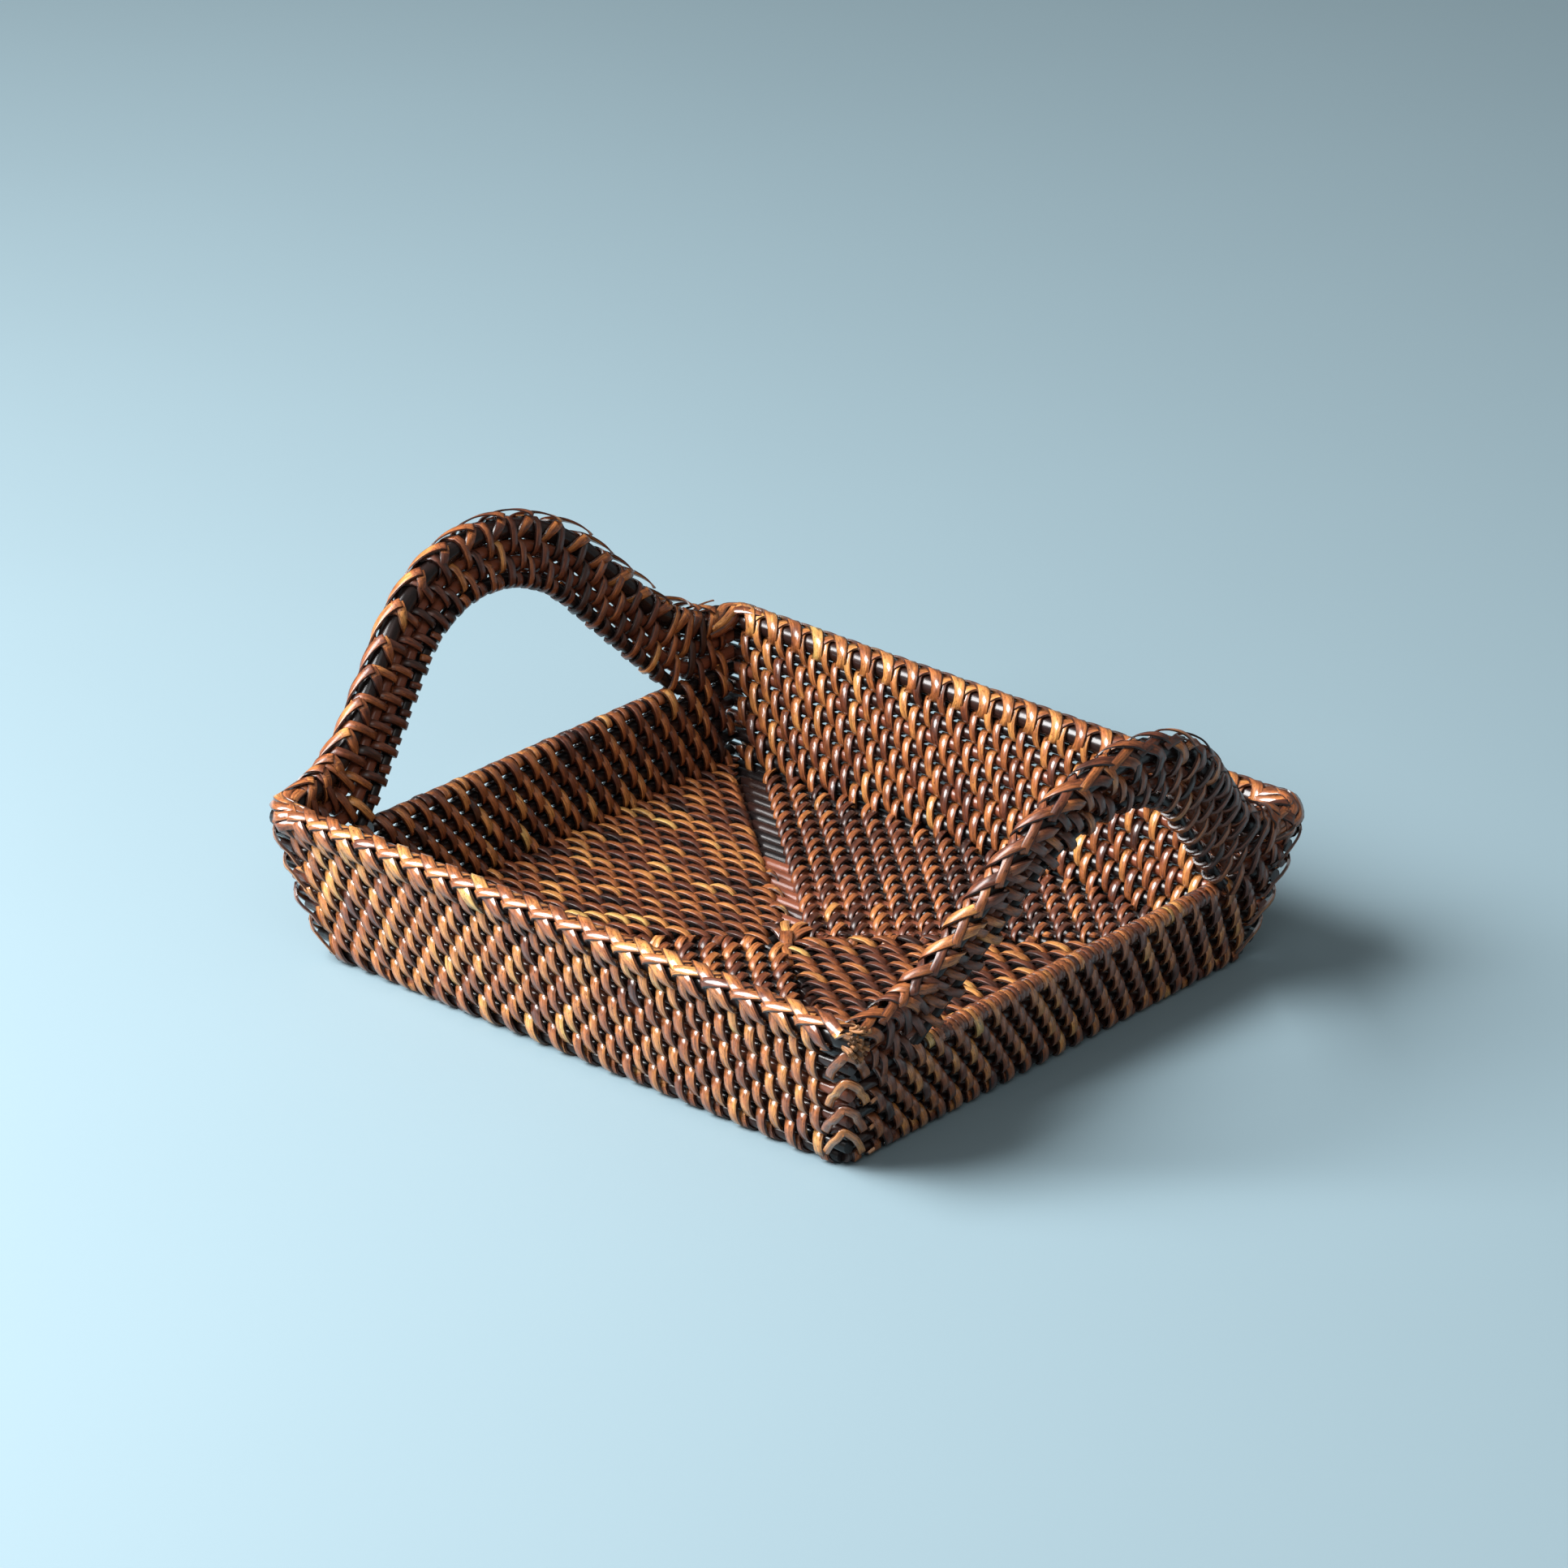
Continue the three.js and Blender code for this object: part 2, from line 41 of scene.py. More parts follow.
bottomWidth = 205.0
flareAngle = 14.0
rodRadius = 2.2
rodPitch = 5.6
rimRadius = 3.5
wallRodCount = 8
lowRodCount = 5
firstRise = 5.0
baseMiddle = 3.4
baseRodCount = 20
rimGap = 0.3
hoopHalfSpan = 79.0
flankAngle = 47.5
crownRadius = 50.0
innerFoot = 9.0
outerFoot = 50.0
railInset = 5.5

# Widths of the strips, for a braid of the one that winds and the one on top
stripWidth = 3.3
longStrips = {"front": 3.7, "back": 3.2}
baseStrips = {"front": 3.1, "right": 3.0, "back": 2.7, "left": 3.0}
hoopStrip = 3.0
railStrip = 3.0
longBraid = (4.3, 3.5)
hoopBraid = (3.7, 3.2)
loopWidth = 3.1
wrapWidth = 3.5
seamStrip = 3.6
tieWidth = 4.6
spokeWidth = 3.4

# Thicknesses of the strips, radius of a rod that shows between them, and gap from rod to strip
stripThick = 0.85
borderThick = 0.9
hoopThick = 0.6
shownRod = 2.3
rodClear = 0.02

# How far strips bow off their rods, on the outer and on the inner side
wallBows = (0.9, 0.9)
baseBows = (0.4, 1.2)
hoopBows = (1.8, 1.0)
topBows = (1.8, 0.5)

# Turns of the lacing along each side, and its shift from row to row in pitches
wallTurns = {"front": 21, "right": 23, "back": 23, "left": 24}
wallSteps = {"front": 0.55, "right": 0.5, "back": 0.55, "left": 0.57}
baseTurns = {"front": 20, "right": 22, "back": 20, "left": 24}
baseSteps = {"front": 0.5, "right": 0.4, "back": 0.5, "left": 0.57}
hoopStep = 0.58

# Pitches of the handles' lacing and of their braid
hoopPitch = 10.3
hoopBraidPitch = 11.6

# How much steeper strips are outside than inside
longLeans = {"front": 0.35, "back": -0.5}
baseLeans = {"front": -0.3, "right": -0.6, "back": -0.3, "left": -0.6}
hoopLeans = {"left": -0.8, "right": 0.3}

# How far the braids stand off at most, from the start to the end of a run
longLoose = (0.2, 0.2)
hoopLoose = {"left": (2.2, 0.2), "right": (0.2, 1.4)}

# How far the front wall's turns shift towards its left end, as a share of its half length
frontDrift = 0.07

# Lengths without lacing, at both ends of a wall, at a handle's foot and at a seam of the base
wallClears = {"front": (3.5, 3.5), "right": (7.0, 3.5), "back": (3.5, 3.0), "left": (3.0, 3.5)}
hoopClear = 7.0
seamClear = 0.5
bareSeam = 9.0

# Shares of a rim's half length at which its rod or braid ends
braidEnd = 1.01
shortEnd = 0.97

# Middle and spread of the strips' tones, from dark red to gold; some parts' tints carry painted light or
# shade, as noted
# Gold of the faces turned to the key light: partly the peel's own colour, partly painted light
litGoldTint = (0.61, 0.12)
redTint = (0.45, 0.17)
darkTint = (0.3, 0.17)
# The front wall's gold tint is partly painted light, for a face turned to the key light
longTints = {"front": litGoldTint, "back": (0.48, 0.13)}
# The right wall's lighter tint is painted light, for a side that only the fill light reaches
endTints = {"left": redTint, "right": (0.52, 0.15)}
# The left quarter's lighter, more golden tint is partly painted light, for a quarter lit from the front
# left
baseTints = {"front": (0.42, 0.18), "right": (0.45, 0.2), "back": (0.33, 0.17), "left": (0.47, 0.22)}
hoopTints = {"left": darkTint, "right": (0.33, 0.14)}
# The left handle's braid is lighter as painted light, for its flank lit by the key light
hoopBraidTints = {"left": (0.5, 0.13), "right": (0.38, 0.13)}
# The curls' dark tint is painted shade, against the key light that falls on them
curlTint = (0.18, 0.1)
loopTint = (0.58, 0.07)
wrapTint = (0.5, 0.12)

# Tones of the rods, from black to brown
blackRods = (0.1, 0.5)
brownRods = (0.45, 0.85)
brownCourses = range(2, 6)
endRods = (0.1, 0.6)
baseRods = (0.1, 0.45)
reddishRods = (0.6, 1.0)
reddishCount = 9
railTone = 0.3
hoopTones = (0.2, 0.95, 0.9, 0.3)

# How far rods stray from straight, and in how many steps they are made
rodStray = 0.15
slightStray = 0.1
rodSteps = 33
rodKnots = 9
hoopRodSteps = 161

# Steps round a pair of rods: of its outline, and of a strip on it
outlineSteps = 361
bandSteps = 16

# How much strips stray: along in pitches, off the rods in millimetres and in share of width
placeStray = 0.06
turnStray = 0.03
liftStray = 0.1
widthStray = 0.14
topWidening = 0.15

# Random values before they repeat, no two alike so that strips don't either
placeKnots = 97
liftKnots = 89
widthKnots = 83
toneKnots = 101

# Share of a half turn over which a strip keeps one tone
toneHeld = 0.9

# First seeds of the random draws, which are counted on by side and row
longRodSeed = 0
endRodSeed = 10
baseRodSeed = 30
longLaceSeed = 100
endLaceSeed = 150
longBraidSeed = 200
baseLaceSeed = 300
seamSeed = 370
tieSeed = 390
hoopLaceSeed = 400
hoopCurlSeed = 440
hoopBraidSeed = 460
railCurlSeed = 480
loopSeed = 500
wrapSeed = 510
fibreSeed = 521
sideSeeds = 20
quarterSeeds = 40

# Casting a handle's lines from its middle line
hoopSteps = 401
castSteps = 3201
castReach = 0.3
castBelow = 3.5
castAbove = 8.0
castLevels = 8

# Curls: half a curl's angle, its slant in pitches, its height off the rod and its share of the width
curlSwing = 1.9
curlSteps = 11
curlSlant = 0.12
curlLift = (0.05, 0.35)
curlWidths = (0.85, 1.15)
railSpots = {"left": (0.5,), "right": (0.3, 0.52, 0.76)}
hoopSpots = (0.36,)
hoopCurlEnd = 0.78
hoopCurlFacing = 1.2 * math.pi

# Loose strands of a braid: lifted within this angle of the top, and narrower where they stand off
liftAngle = 60
leastLift = 0.1
seatedAway = 5.2
narrowing = 0.1
mostNarrowed = 4
shortestLine = 9

# Half a corner loop from its foot to its crown, as (clear of the wall's end, out of the wall)
loopHalf = [(5.4, 0.0), (4.9, 3.1), (3.1, 4.0), (1.3, 4.3), (-0.4, 4.2)]
loopDrop = 2.0
loopEntry = 1.0
loopCrown = (2.0, 1.8, 2.8)
loopCentre = (5, -6)
pointStray = 0.3
loopStray = 0.5
loopWidths = (0.85, 1.2)

# Strips round a corner of the rim: angles, (clear of the wall's end, from the rod), turn per millimetre
wrapAngles = (-70, -35, 0, 35, 70, 105)
wrapSteps = [(15.0, 4.2), (10.0, 5.2), (4.5, 5.4)]
wrapTwist = 4.0
wrapShift = 3

# Torn fibres of a rod's end
fibreCount = 70
fibreSpread = 1.15
fibreSplay = 0.45
fibreRoot = 3.0
fibreReach = (-0.5, 3.0)
fibreRadii = (0.35, 0.8)
fibreSides = 6

# Strips wound along the seams of the base
seamLift = 4.2
seamHigh = 2.9
seamWide = 3.2
seamStart = 0.08
seamSteps = 12
seamStray = 0.15
seamLiftKnots = 31
seamToneKnots = 61

# Ties of the crossing: the middle one, as (along, up), and a spoke, as (out, aside, up)
tieArc = [(-8.5, 1.0), (-7.2, 4.6), (-3.6, 7.2), (0.0, 7.9), (3.6, 7.4), (7.2, 5.2), (8.5, 1.0)]
spokeArc = [(1.5, 0.0, 5.0), (5.0, 1.2, 6.9), (9.5, 2.6, 7.2), (14.0, 3.2, 6.0), (17.0, 3.0, 2.5)]
spokeAngles = (0.4, 0.85, 1.35, 1.8, -0.35, -1.3)

# Values worked out from the driving sizes
flare = math.radians(flareAngle)
flank = math.radians(flankAngle)
midInset = baseMiddle / math.cos(flare)
edgeSlant = baseMiddle / math.cos(flare)
firstSlant = (baseMiddle + firstRise) / math.cos(flare)
rimSlant = firstSlant + (wallRodCount - 1) * rodPitch + rodRadius + rimGap + rimRadius
railSlant = firstSlant + lowRodCount * rodPitch
rimRise = rimSlant - railSlant
longHalf = bottomLength / 2 - midInset
endHalf = bottomWidth / 2 - midInset
railHalf = hoopHalfSpan - railInset
rodSlants = [firstSlant + number * rodPitch for number in range(wallRodCount)]
upward = np.array([0.0, 0.0, 1.0])


def unit(vectors):
    """Each row of an array at length 1."""
    return vectors / np.linalg.norm(vectors, axis=-1, keepdims=True)


def turned(angles, ups, outs):
    """Directions at angles from the up directions towards the out ones."""
    return np.cos(angles)[:, None] * ups + np.sin(angles)[:, None] * outs


def lengthsAlong(points):
    """Length of a line of points up to each of them."""
    steps = np.linalg.norm(np.diff(points, axis=0), axis=1)
    return np.concatenate([[0.0], np.cumsum(steps)])


class Wall:
    """A sloping wall: u runs along it, s up its slope and n out of its face."""
    squareness = 2.1

    def __init__(self, quarter, alongHalf, acrossHalf, clears, drift=0.0):
        turn = quarter * math.pi / 2
        self.along = np.array([math.cos(turn), math.sin(turn), 0.0])
        self.out = np.array([math.sin(turn), -math.cos(turn), 0.0])
        self.slope = math.sin(flare) * self.out + math.cos(flare) * upward
        self.face = math.cos(flare) * self.out - math.sin(flare) * upward
        self.alongHalf = alongHalf
        self.acrossHalf = acrossHalf
        self.clears = clears
        self.drift = drift

    def reach(self, s):
        """Half the wall's length at a height up its slope."""
        return self.alongHalf + s * math.sin(flare)

    def point(self, u, s, n):
        """The point that lies u along, s up the slope and n out."""
        u, s, n = np.broadcast_arrays(u, s, n)
        foot = self.acrossHalf * self.out
        return foot + u[..., None] * self.along + s[..., None] * self.slope + n[..., None] * self.face

    def limits(self, s):
        """Shares of the length between which the wall is laced, at a height."""
        return self.clears[0] / self.reach(s) - 1, 1 - self.clears[1] / self.reach(s)

    def place(self, share, s, n):
        """A point at a share from -1 to 1 of the wall's length, with its up and out directions."""
        ups = np.broadcast_to(self.slope, (len(share), 3))
        outs = np.broadcast_to(self.face, (len(share), 3))
        share = share - self.drift * (1 - share ** 2)
        return self.point(share * (self.reach(s) - rodRadius), s, n), ups, outs


class Quarter:
    """A mitred quarter of the base: s runs out from the middle and n down."""
    squareness = 2.6

    def __init__(self, wall, edge, otherEdge, clear):
        self.clear = clear
        self.along = wall.along
        self.out = wall.out
        self.otherEdge = otherEdge
        self.widen = otherEdge / edge
        self.pitch = edge / baseRodCount

    def point(self, u, s, n):
        u, s, n = np.broadcast_arrays(u, s, n)
        points = u[..., None] * self.along + s[..., None] * self.out
        points[..., 2] = baseMiddle - n
        return points

    def limits(self, s):
        half = s * self.widen
        return (seamClear - half) / self.otherEdge, (half - self.clear) / self.otherEdge

    def place(self, share, s, n):
        ups = np.broadcast_to(self.out, (len(share), 3))
        outs = np.broadcast_to(-upward, (len(share), 3))
        return self.point(share * self.otherEdge, s, n), ups, outs


class Hoop:
    """The curved top of an end wall: shares run along the hoop, s is the rise above its lowest rod."""
    squareness = 2.8

    def __init__(self, wall):
        self.wall = wall
        lengths = self.lengths(np.array([rimRise / 2]))
        self.joints = np.concatenate([[0.0], np.cumsum([part[0] for part in lengths])])
        self.turns = round(2 * self.joints[-1] / hoopPitch)
        self.joints /= self.joints[-1]
        self.shares = np.linspace(-1, 1, hoopSteps)
        self.levels = np.linspace(-castBelow, rimRise + castAbove, castLevels)
        self.middle = self.line(self.shares, np.full(hoopSteps, rimRise / 2))
        self.casts = np.array([self.cast(level) for level in self.levels])

    def sizes(self, rise):
        """Ends of the line at a rise: the wall's, the foot's, and the foot bend's tangent and radius."""
        foot = hoopHalfSpan + rise / math.sin(flank) - rise / math.tan(flank)
        footRadius = innerFoot + (outerFoot - innerFoot) * rise / rimRise
        end = self.wall.reach(railSlant + rise)
        tangent = np.minimum(footRadius * math.tan(flank / 2), end - foot - rimGap)
        bend = tangent / math.tan(flank / 2)
        return end, foot, tangent, bend

    def lengths(self, rise):
        """Lengths of half the line's parts: straight end, foot bend, flank and crown."""
        end, foot, tangent, bend = self.sizes(rise)
        crown = crownRadius + rise
        flankStart = foot + tangent - bend * math.sin(flank)
        flankRun = (flankStart - crown * math.sin(flank)) / math.cos(flank)
        return end - foot - tangent, bend * flank, flankRun, crown * flank

    def line(self, share, rise):
        """Places (u, slope, direction angle) of the hoop's line at a rise, for shares from -1 to 1."""
        end, _, _, bend = self.sizes(rise)
        run, _, flankRun, _ = self.lengths(rise)
        side = np.where(share < 0, -1.0, 1.0)
        gone = 1 - np.abs(share)
        joints = zip(self.joints[:-1], self.joints[1:])
        part = [np.clip((gone - before) / (after - before), 0, 1) for before, after in joints]
        along = end - run * part[0]
        footTurn = flank * part[1]
        along = along - bend * np.sin(footTurn)
        height = bend * (1 - np.cos(footTurn))
        along = along - flankRun * part[2] * math.cos(flank)
        height = height + flankRun * part[2] * math.sin(flank)
        crown = crownRadius + rise
        crownTurn = flank * (1 - part[3])
        along = along - crown * (math.sin(flank) - np.sin(crownTurn))
        height = height + crown * (np.cos(crownTurn) - math.cos(flank))
        angle = np.where(part[3] > 0, crownTurn, footTurn)
        return side * along, railSlant + rise + height, side * angle

    def cast(self, rise):
        """How far the hoop's line at a rise lies from the middle line, square to it, for each share."""
        fine = np.linspace(-1, 1, castSteps)
        u, slant, angle = self.line(fine, np.full(castSteps, rise))
        middle, height, lean = (values[:, None] for values in self.middle)
        ahead = (u - middle) * np.cos(lean) - (slant - height) * np.sin(lean)
        ahead[np.abs(fine - self.shares[:, None]) > castReach] = np.inf
        nearest = np.abs(ahead).argmin(1)
        away = (u - middle) * np.sin(lean) + (slant - height) * np.cos(lean)
        return away[np.arange(hoopSteps), nearest]

    def limits(self, s):
        end = np.full(len(s), 1 - 2 * hoopClear / (self.turns * hoopPitch))
        return -end, end

    def place(self, share, s, n):
        u, slant, angle = (np.interp(share, self.shares, values) for values in self.middle)
        casts = np.array([np.interp(share, self.shares, cast) for cast in self.casts])
        level = (s - self.levels[0]) / (self.levels[1] - self.levels[0])
        first = np.clip(np.floor(level).astype(int), 0, castLevels - 2)
        spots = np.arange(len(share))
        away = casts[first, spots] + (level - first) * (casts[first + 1, spots] - casts[first, spots])
        points = self.wall.point(u + away * np.sin(angle), slant + away * np.cos(angle), n)
        outs = np.broadcast_to(self.wall.face, (len(share), 3))
        return points, turned(angle, self.wall.slope, self.wall.along), outs


class Strands:
    """Collects strips and rods as one mesh, with what their material reads."""

    def __init__(self):
        self.points = []
        self.faces = []
        self.along = []
        self.across = []
        self.tone = []
        self.smooth = []
        self.count = 0

    def sweep(self, rings, along, across, tone, flat=()):
        """Adds one closed tube from its rings of points, with some of its sides flat."""
        stations, ring = rings.shape[:2]
        index = np.arange(stations * ring).reshape(stations, ring) + self.count
        here = index[:-1]
        after = index[1:]
        quads = np.stack([here, np.roll(here, -1, 1), np.roll(after, -1, 1), after], -1)
        self.faces += quads.reshape(-1, 4).tolist()
        self.faces.append(index[0, ::-1].tolist())
        self.faces.append(index[-1].tolist())
        self.smooth += [side not in flat for side in range(ring)] * (stations - 1) + [False, False]
        self.points.append(rings.reshape(-1, 3))
        self.along.append(np.repeat(along, ring))
        self.across.append(np.tile(across, stations))
        self.tone.append(np.repeat(tone, ring))
        self.count += stations * ring

    def strip(self, points, facing, width, thick, tone):
        """Adds a flat strip with a crowned face along a line of points."""
        across = np.array([-1.0, -0.9, 0.0, 0.9, 1.0, 0.0])
        height = np.array([-0.7, 0.9, 1.0, 0.9, -0.7, -1.0])
        edges = (0, 3)
        ahead = unit(np.gradient(points, axis=0))
        side = unit(np.cross(ahead, facing))
        outward = np.cross(side, ahead)
        width = np.broadcast_to(width, len(points))
        spread = side[:, None] * across[None, :, None] * width[:, None, None] / 2
        lift = outward[:, None] * height[None, :, None] * thick / 2
        rings = points[:, None] + spread + lift
        self.sweep(rings, lengthsAlong(points), across, np.broadcast_to(tone, len(points)), edges)

    def rod(self, points, radius, tone, sides=14, guide=upward):
        """Adds a round rod along a line of points, its seam set by a guide direction."""
        ahead = unit(np.gradient(points, axis=0))
        side = unit(np.cross(ahead, guide))
        up = np.cross(side, ahead)
        angles = np.arange(sides) * 2 * math.pi / sides
        rings = points[:, None] + radius * (np.cos(angles)[None, :, None] * side[:, None]
                                            + np.sin(angles)[None, :, None] * up[:, None])
        self.sweep(rings, lengthsAlong(points), np.cos(angles), np.full(len(points), tone))

    def piece(self, name, slot, material, *nodes):
        """Makes the mesh, in metres, and lets it stand for CAD nodes."""
        mesh = bpy.data.meshes.new(name)
        mesh.from_pydata((np.concatenate(self.points) / 1000).tolist(), [], self.faces)
        for label, values in (("along", self.along), ("across", self.across), ("tone", self.tone)):
            layer = mesh.attributes.new(label, "FLOAT", "POINT")
            layer.data.foreach_set("value", np.concatenate(values).astype(np.float32))
        mesh.polygons.foreach_set("use_smooth", np.array(self.smooth))
        mesh.materials.append(material)
        piece = bpy.data.objects.new(name, mesh)
        bpy.context.scene.collection.objects.link(piece)
        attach(piece, "root")
        if nodes:
            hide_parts(*nodes)


def bandOutline(low, high, lowRadius, highRadius, bows, power):
    """Slope, out, facing angle and share of a turn round a pair of rods, from the top outwards."""
    around = np.linspace(0, 2 * math.pi, outlineSteps)
    up = np.cos(around)
    out = np.sin(around)
    squared = np.abs(up) ** (2 / power) * np.sign(up)
    deep = np.abs(out) ** (2 / power) * np.sign(out)
    half = (high - low) / 2
    s = low + half + squared * (half + np.where(up > 0, highRadius, lowRadius))
    thick = lowRadius + (highRadius - lowRadius) * (1 + up) / 2
    n = deep * (thick + np.where(out > 0, *bows))
    steps = np.hypot(np.diff(s), np.diff(n))
    turn = np.concatenate([[0.0], np.cumsum(steps)]) / steps.sum()
    part = np.arange(bandSteps) / bandSteps
    s = np.interp(part, turn, s)
    n = np.interp(part, turn, n)
    ahead = np.stack([np.roll(s, -1) - np.roll(s, 1), np.roll(n, -1) - np.roll(n, 1)])
    return s, n, np.arctan2(-ahead[0], ahead[1]), part


def wander(random, count, turn, size):
    """A smooth random value that changes every half turn."""
    knots = random.uniform(-size, size, count)
    half = turn * 2
    first = np.floor(half).astype(int) % count
    blend = 0.5 - 0.5 * np.cos(math.pi * (half % 1))
    return knots[first] * (1 - blend) + knots[(first + 1) % count] * blend


def toneOf(random, tint, count=None):
    """A tone, or several, drawn round the middle of a tint."""
    return np.clip(random.normal(*tint, count), 0, 1)


def stitchTone(random, count, turn, tint):
    """A tone for each half turn, which changes where a strip passes round a rod."""
    knots = toneOf(random, tint, count)
    half = turn * 2
    first = np.floor(half).astype(int) % count
    blend = np.clip((half % 1 - toneHeld) / (1 - toneHeld), 0, 1)
    return knots[first] * (1 - blend) + knots[(first + 1) % count] * blend


def lace(strands, panel, low, high, turns, offset, seed, lowRadius=shownRod, highRadius=shownRod,
         bows=wallBows, width=stripWidth, lean=0.0, tint=redTint):
    """Winds one strip as a screw round two neighbouring rods, steeper outside for a lean above 0."""
    random = np.random.default_rng(seed)
    lowRadius = lowRadius + stripThick / 2 + rodClear
    highRadius = highRadius + stripThick / 2 + rodClear
    s, n, angles, part = bandOutline(low, high, lowRadius, highRadius, bows, panel.squareness)
    part = part + lean * (np.cos(2 * math.pi * part) - 1) / (2 * math.pi)
    rounds = turns + 3
    turn = (np.arange(-1, turns + 2)[:, None] + part[None, :]).ravel()
    share = 2 * (turn - offset % 1) / turns - 1
    angles = np.tile(angles, rounds)
    s = np.tile(s, rounds)
    n = np.tile(n, rounds)
    start, end = panel.limits(np.array([(low + high) / 2]))
    inside = (share >= start) & (share <= end)
    first = np.argmax(inside)
    last = len(inside) - np.argmax(inside[::-1])
    kept = slice(first, last)
    turn = turn[kept]
    angles = angles[kept]
    share = share[kept] + wander(random, placeKnots, turn, placeStray / turns)
    lift = liftStray + wander(random, liftKnots, turn, liftStray)
    s = s[kept] + lift * np.cos(angles)
    n = n[kept] + lift * np.sin(angles)
    points, ups, outs = panel.place(share, s, n)
    widths = width * (1 + wander(random, widthKnots, turn, widthStray))
    widths = widths * (1 + topWidening * np.cos(angles))
    tone = stitchTone(random, toneKnots, turn, tint)
    strands.strip(points, turned(angles, ups, outs), widths, stripThick, tone)


def curls(strands, panel, slant, turns, offset, seed, edge, spots, middle, width, tint=redTint):
    """Lays short strips over one side of a single rod, between the turns of its lacing."""
    random = np.random.default_rng(seed)
    for turn in range(-1, turns + 1):
        for spot in spots:
            place = 2 * (turn + spot - offset % 1 + random.uniform(-turnStray, turnStray)) / turns - 1
            if abs(place) > edge:
                continue
            swing = np.linspace(-curlSwing, curlSwing, curlSteps)
            angles = middle + swing
            share = place + curlSlant * swing / turns
            reach = shownRod + stripThick / 2 + random.uniform(*curlLift)
            s = slant + reach * np.cos(angles)
            points, ups, outs = panel.place(share, s, reach * np.sin(angles))
            tone = toneOf(random, tint)
            wide = width * random.uniform(*curlWidths)
            strands.strip(points, turned(angles, ups, outs), wide, stripThick, tone)


# Braids, as (along in pitches, degrees round the rim rod from its top outwards, from its middle)
overStrip = [
    (0.64, 165, 4.8), (0.7, 140, 4.9), (0.7, 114, 5.0), (0.62, 92, 5.2), (0.5, 72, 5.3),
    (0.34, 56, 5.1), (0.18, 43, 4.6), (0.04, 33, 4.45), (-0.12, 22, 4.9), (-0.3, 8, 5.3),
    (-0.5, -8, 5.3), (-0.68, -24, 5.2), (-0.84, -45, 5.0), (-0.95, -72, 4.9), (-0.95, -105, 4.8),
    (-0.85, -130, 4.8), (-0.7, -155, 4.8),
]
barStrip = [
    (-0.26, 50, 4.5), (-0.17, 40, 5.2), (0.05, 31, 5.45), (0.27, 24, 5.35), (0.48, 14, 4.95),
    (0.65, 2, 4.5), (0.85, -20, 4.4), (1.02, -55, 4.4), (1.1, -85, 4.5),
]
farOver = [
    (0.35, 170, 4.8), (0.34, 140, 4.9), (0.28, 105, 4.9), (0.12, 72, 4.6), (-0.05, 48, 4.6),
    (-0.25, 30, 5.0), (-0.5, 14, 5.3), (-0.8, -4, 5.4), (-1.08, -24, 5.3), (-1.22, -40, 5.0),
]
farBack = [
    (-1.2, -30, 4.6), (-1.1, -50, 4.6), (-0.98, -70, 4.4), (-0.86, -95, 4.0), (-0.78, -125, 4.0),
    (-0.72, -155, 4.2),
]
farBar = [
    (-0.26, 98, 4.5), (-0.17, 88, 5.2), (0.05, 80, 5.45), (0.27, 72, 5.35), (0.48, 60, 4.95),
    (0.65, 46, 4.5), (0.8, 30, 4.4), (0.9, 15, 4.3), (0.95, 5, 4.2),
]
nearBraid = (overStrip, [], barStrip)
farBraid = (farOver, farBack, farBar)


def smoothLine(points, steps):
    """A smooth line through points, with a number of steps between each two."""
    points = np.asarray(points, float)
    ends = np.concatenate([[2 * points[0] - points[1]], points, [2 * points[-1] - points[-2]]])
    share = (np.arange(steps) / steps)[:, None]
    pieces = []
    for i in range(len(points) - 1):
        a, b, c, d = ends[i:i + 4]
        bend = 2 * a - 5 * b + 4 * c - d
        twist = 3 * b - a - 3 * c + d
        pieces.append(b + 0.5 * ((c - a) * share + bend * share ** 2 + twist * share ** 3))
    pieces.append(points[-1:])
    return np.concatenate(pieces)


def braid(strands, panel, slant, turns, seed, courses, loose, widths, thick, tint, ends):
    """Plaits two strips over the rim rod: one winds round it, the other lies along its top."""
    random = np.random.default_rng(seed)
    over, back, bar = courses
    windings = [[]]
    for turn in range(turns + 1, -1, -1):
        shift = random.uniform(-turnStray, turnStray)
        lift = random.uniform(0, max(np.interp(turn / turns, (0, 1), loose), leastLift))
        for place, angle, away in over:
            raised = away + (lift if abs(angle) < liftAngle else 0)
            windings[-1].append((turn + place + shift, angle + 360 * turn, raised))
        if back:
            windings.append([])
            for place, angle, away in back:
                windings[-1].append((turn + place + shift, angle + 360 * turn, away))
    bars = []
    for turn in range(-1, turns + 1):
        line = np.array(bar, float)
        line[:, 0] += turn + random.uniform(-turnStray, turnStray)
        bars.append(line)
    lines = [(line, widths[0], toneKnots) for line in windings] + [(line, widths[1], 1) for line in bars]
    for line, width, tones in lines:
        line = smoothLine(line, 3)
        share = 2 * line[:, 0] / turns - 1
        inside = (share > -ends[0]) & (share < ends[1])
        if inside.sum() < shortestLine:
            continue
        place, angle, away = line[inside].T
        angle = np.radians(angle)
        s = slant + away * np.cos(angle)
        points, ups, outs = panel.place(share[inside], s, away * np.sin(angle))
        narrowed = width * (1 - narrowing * np.clip(away - seatedAway, 0, mostNarrowed))
        tone = stitchTone(random, tones, place / 2, tint)
        strands.strip(points, turned(angle, ups, outs), narrowed, thick, tone)


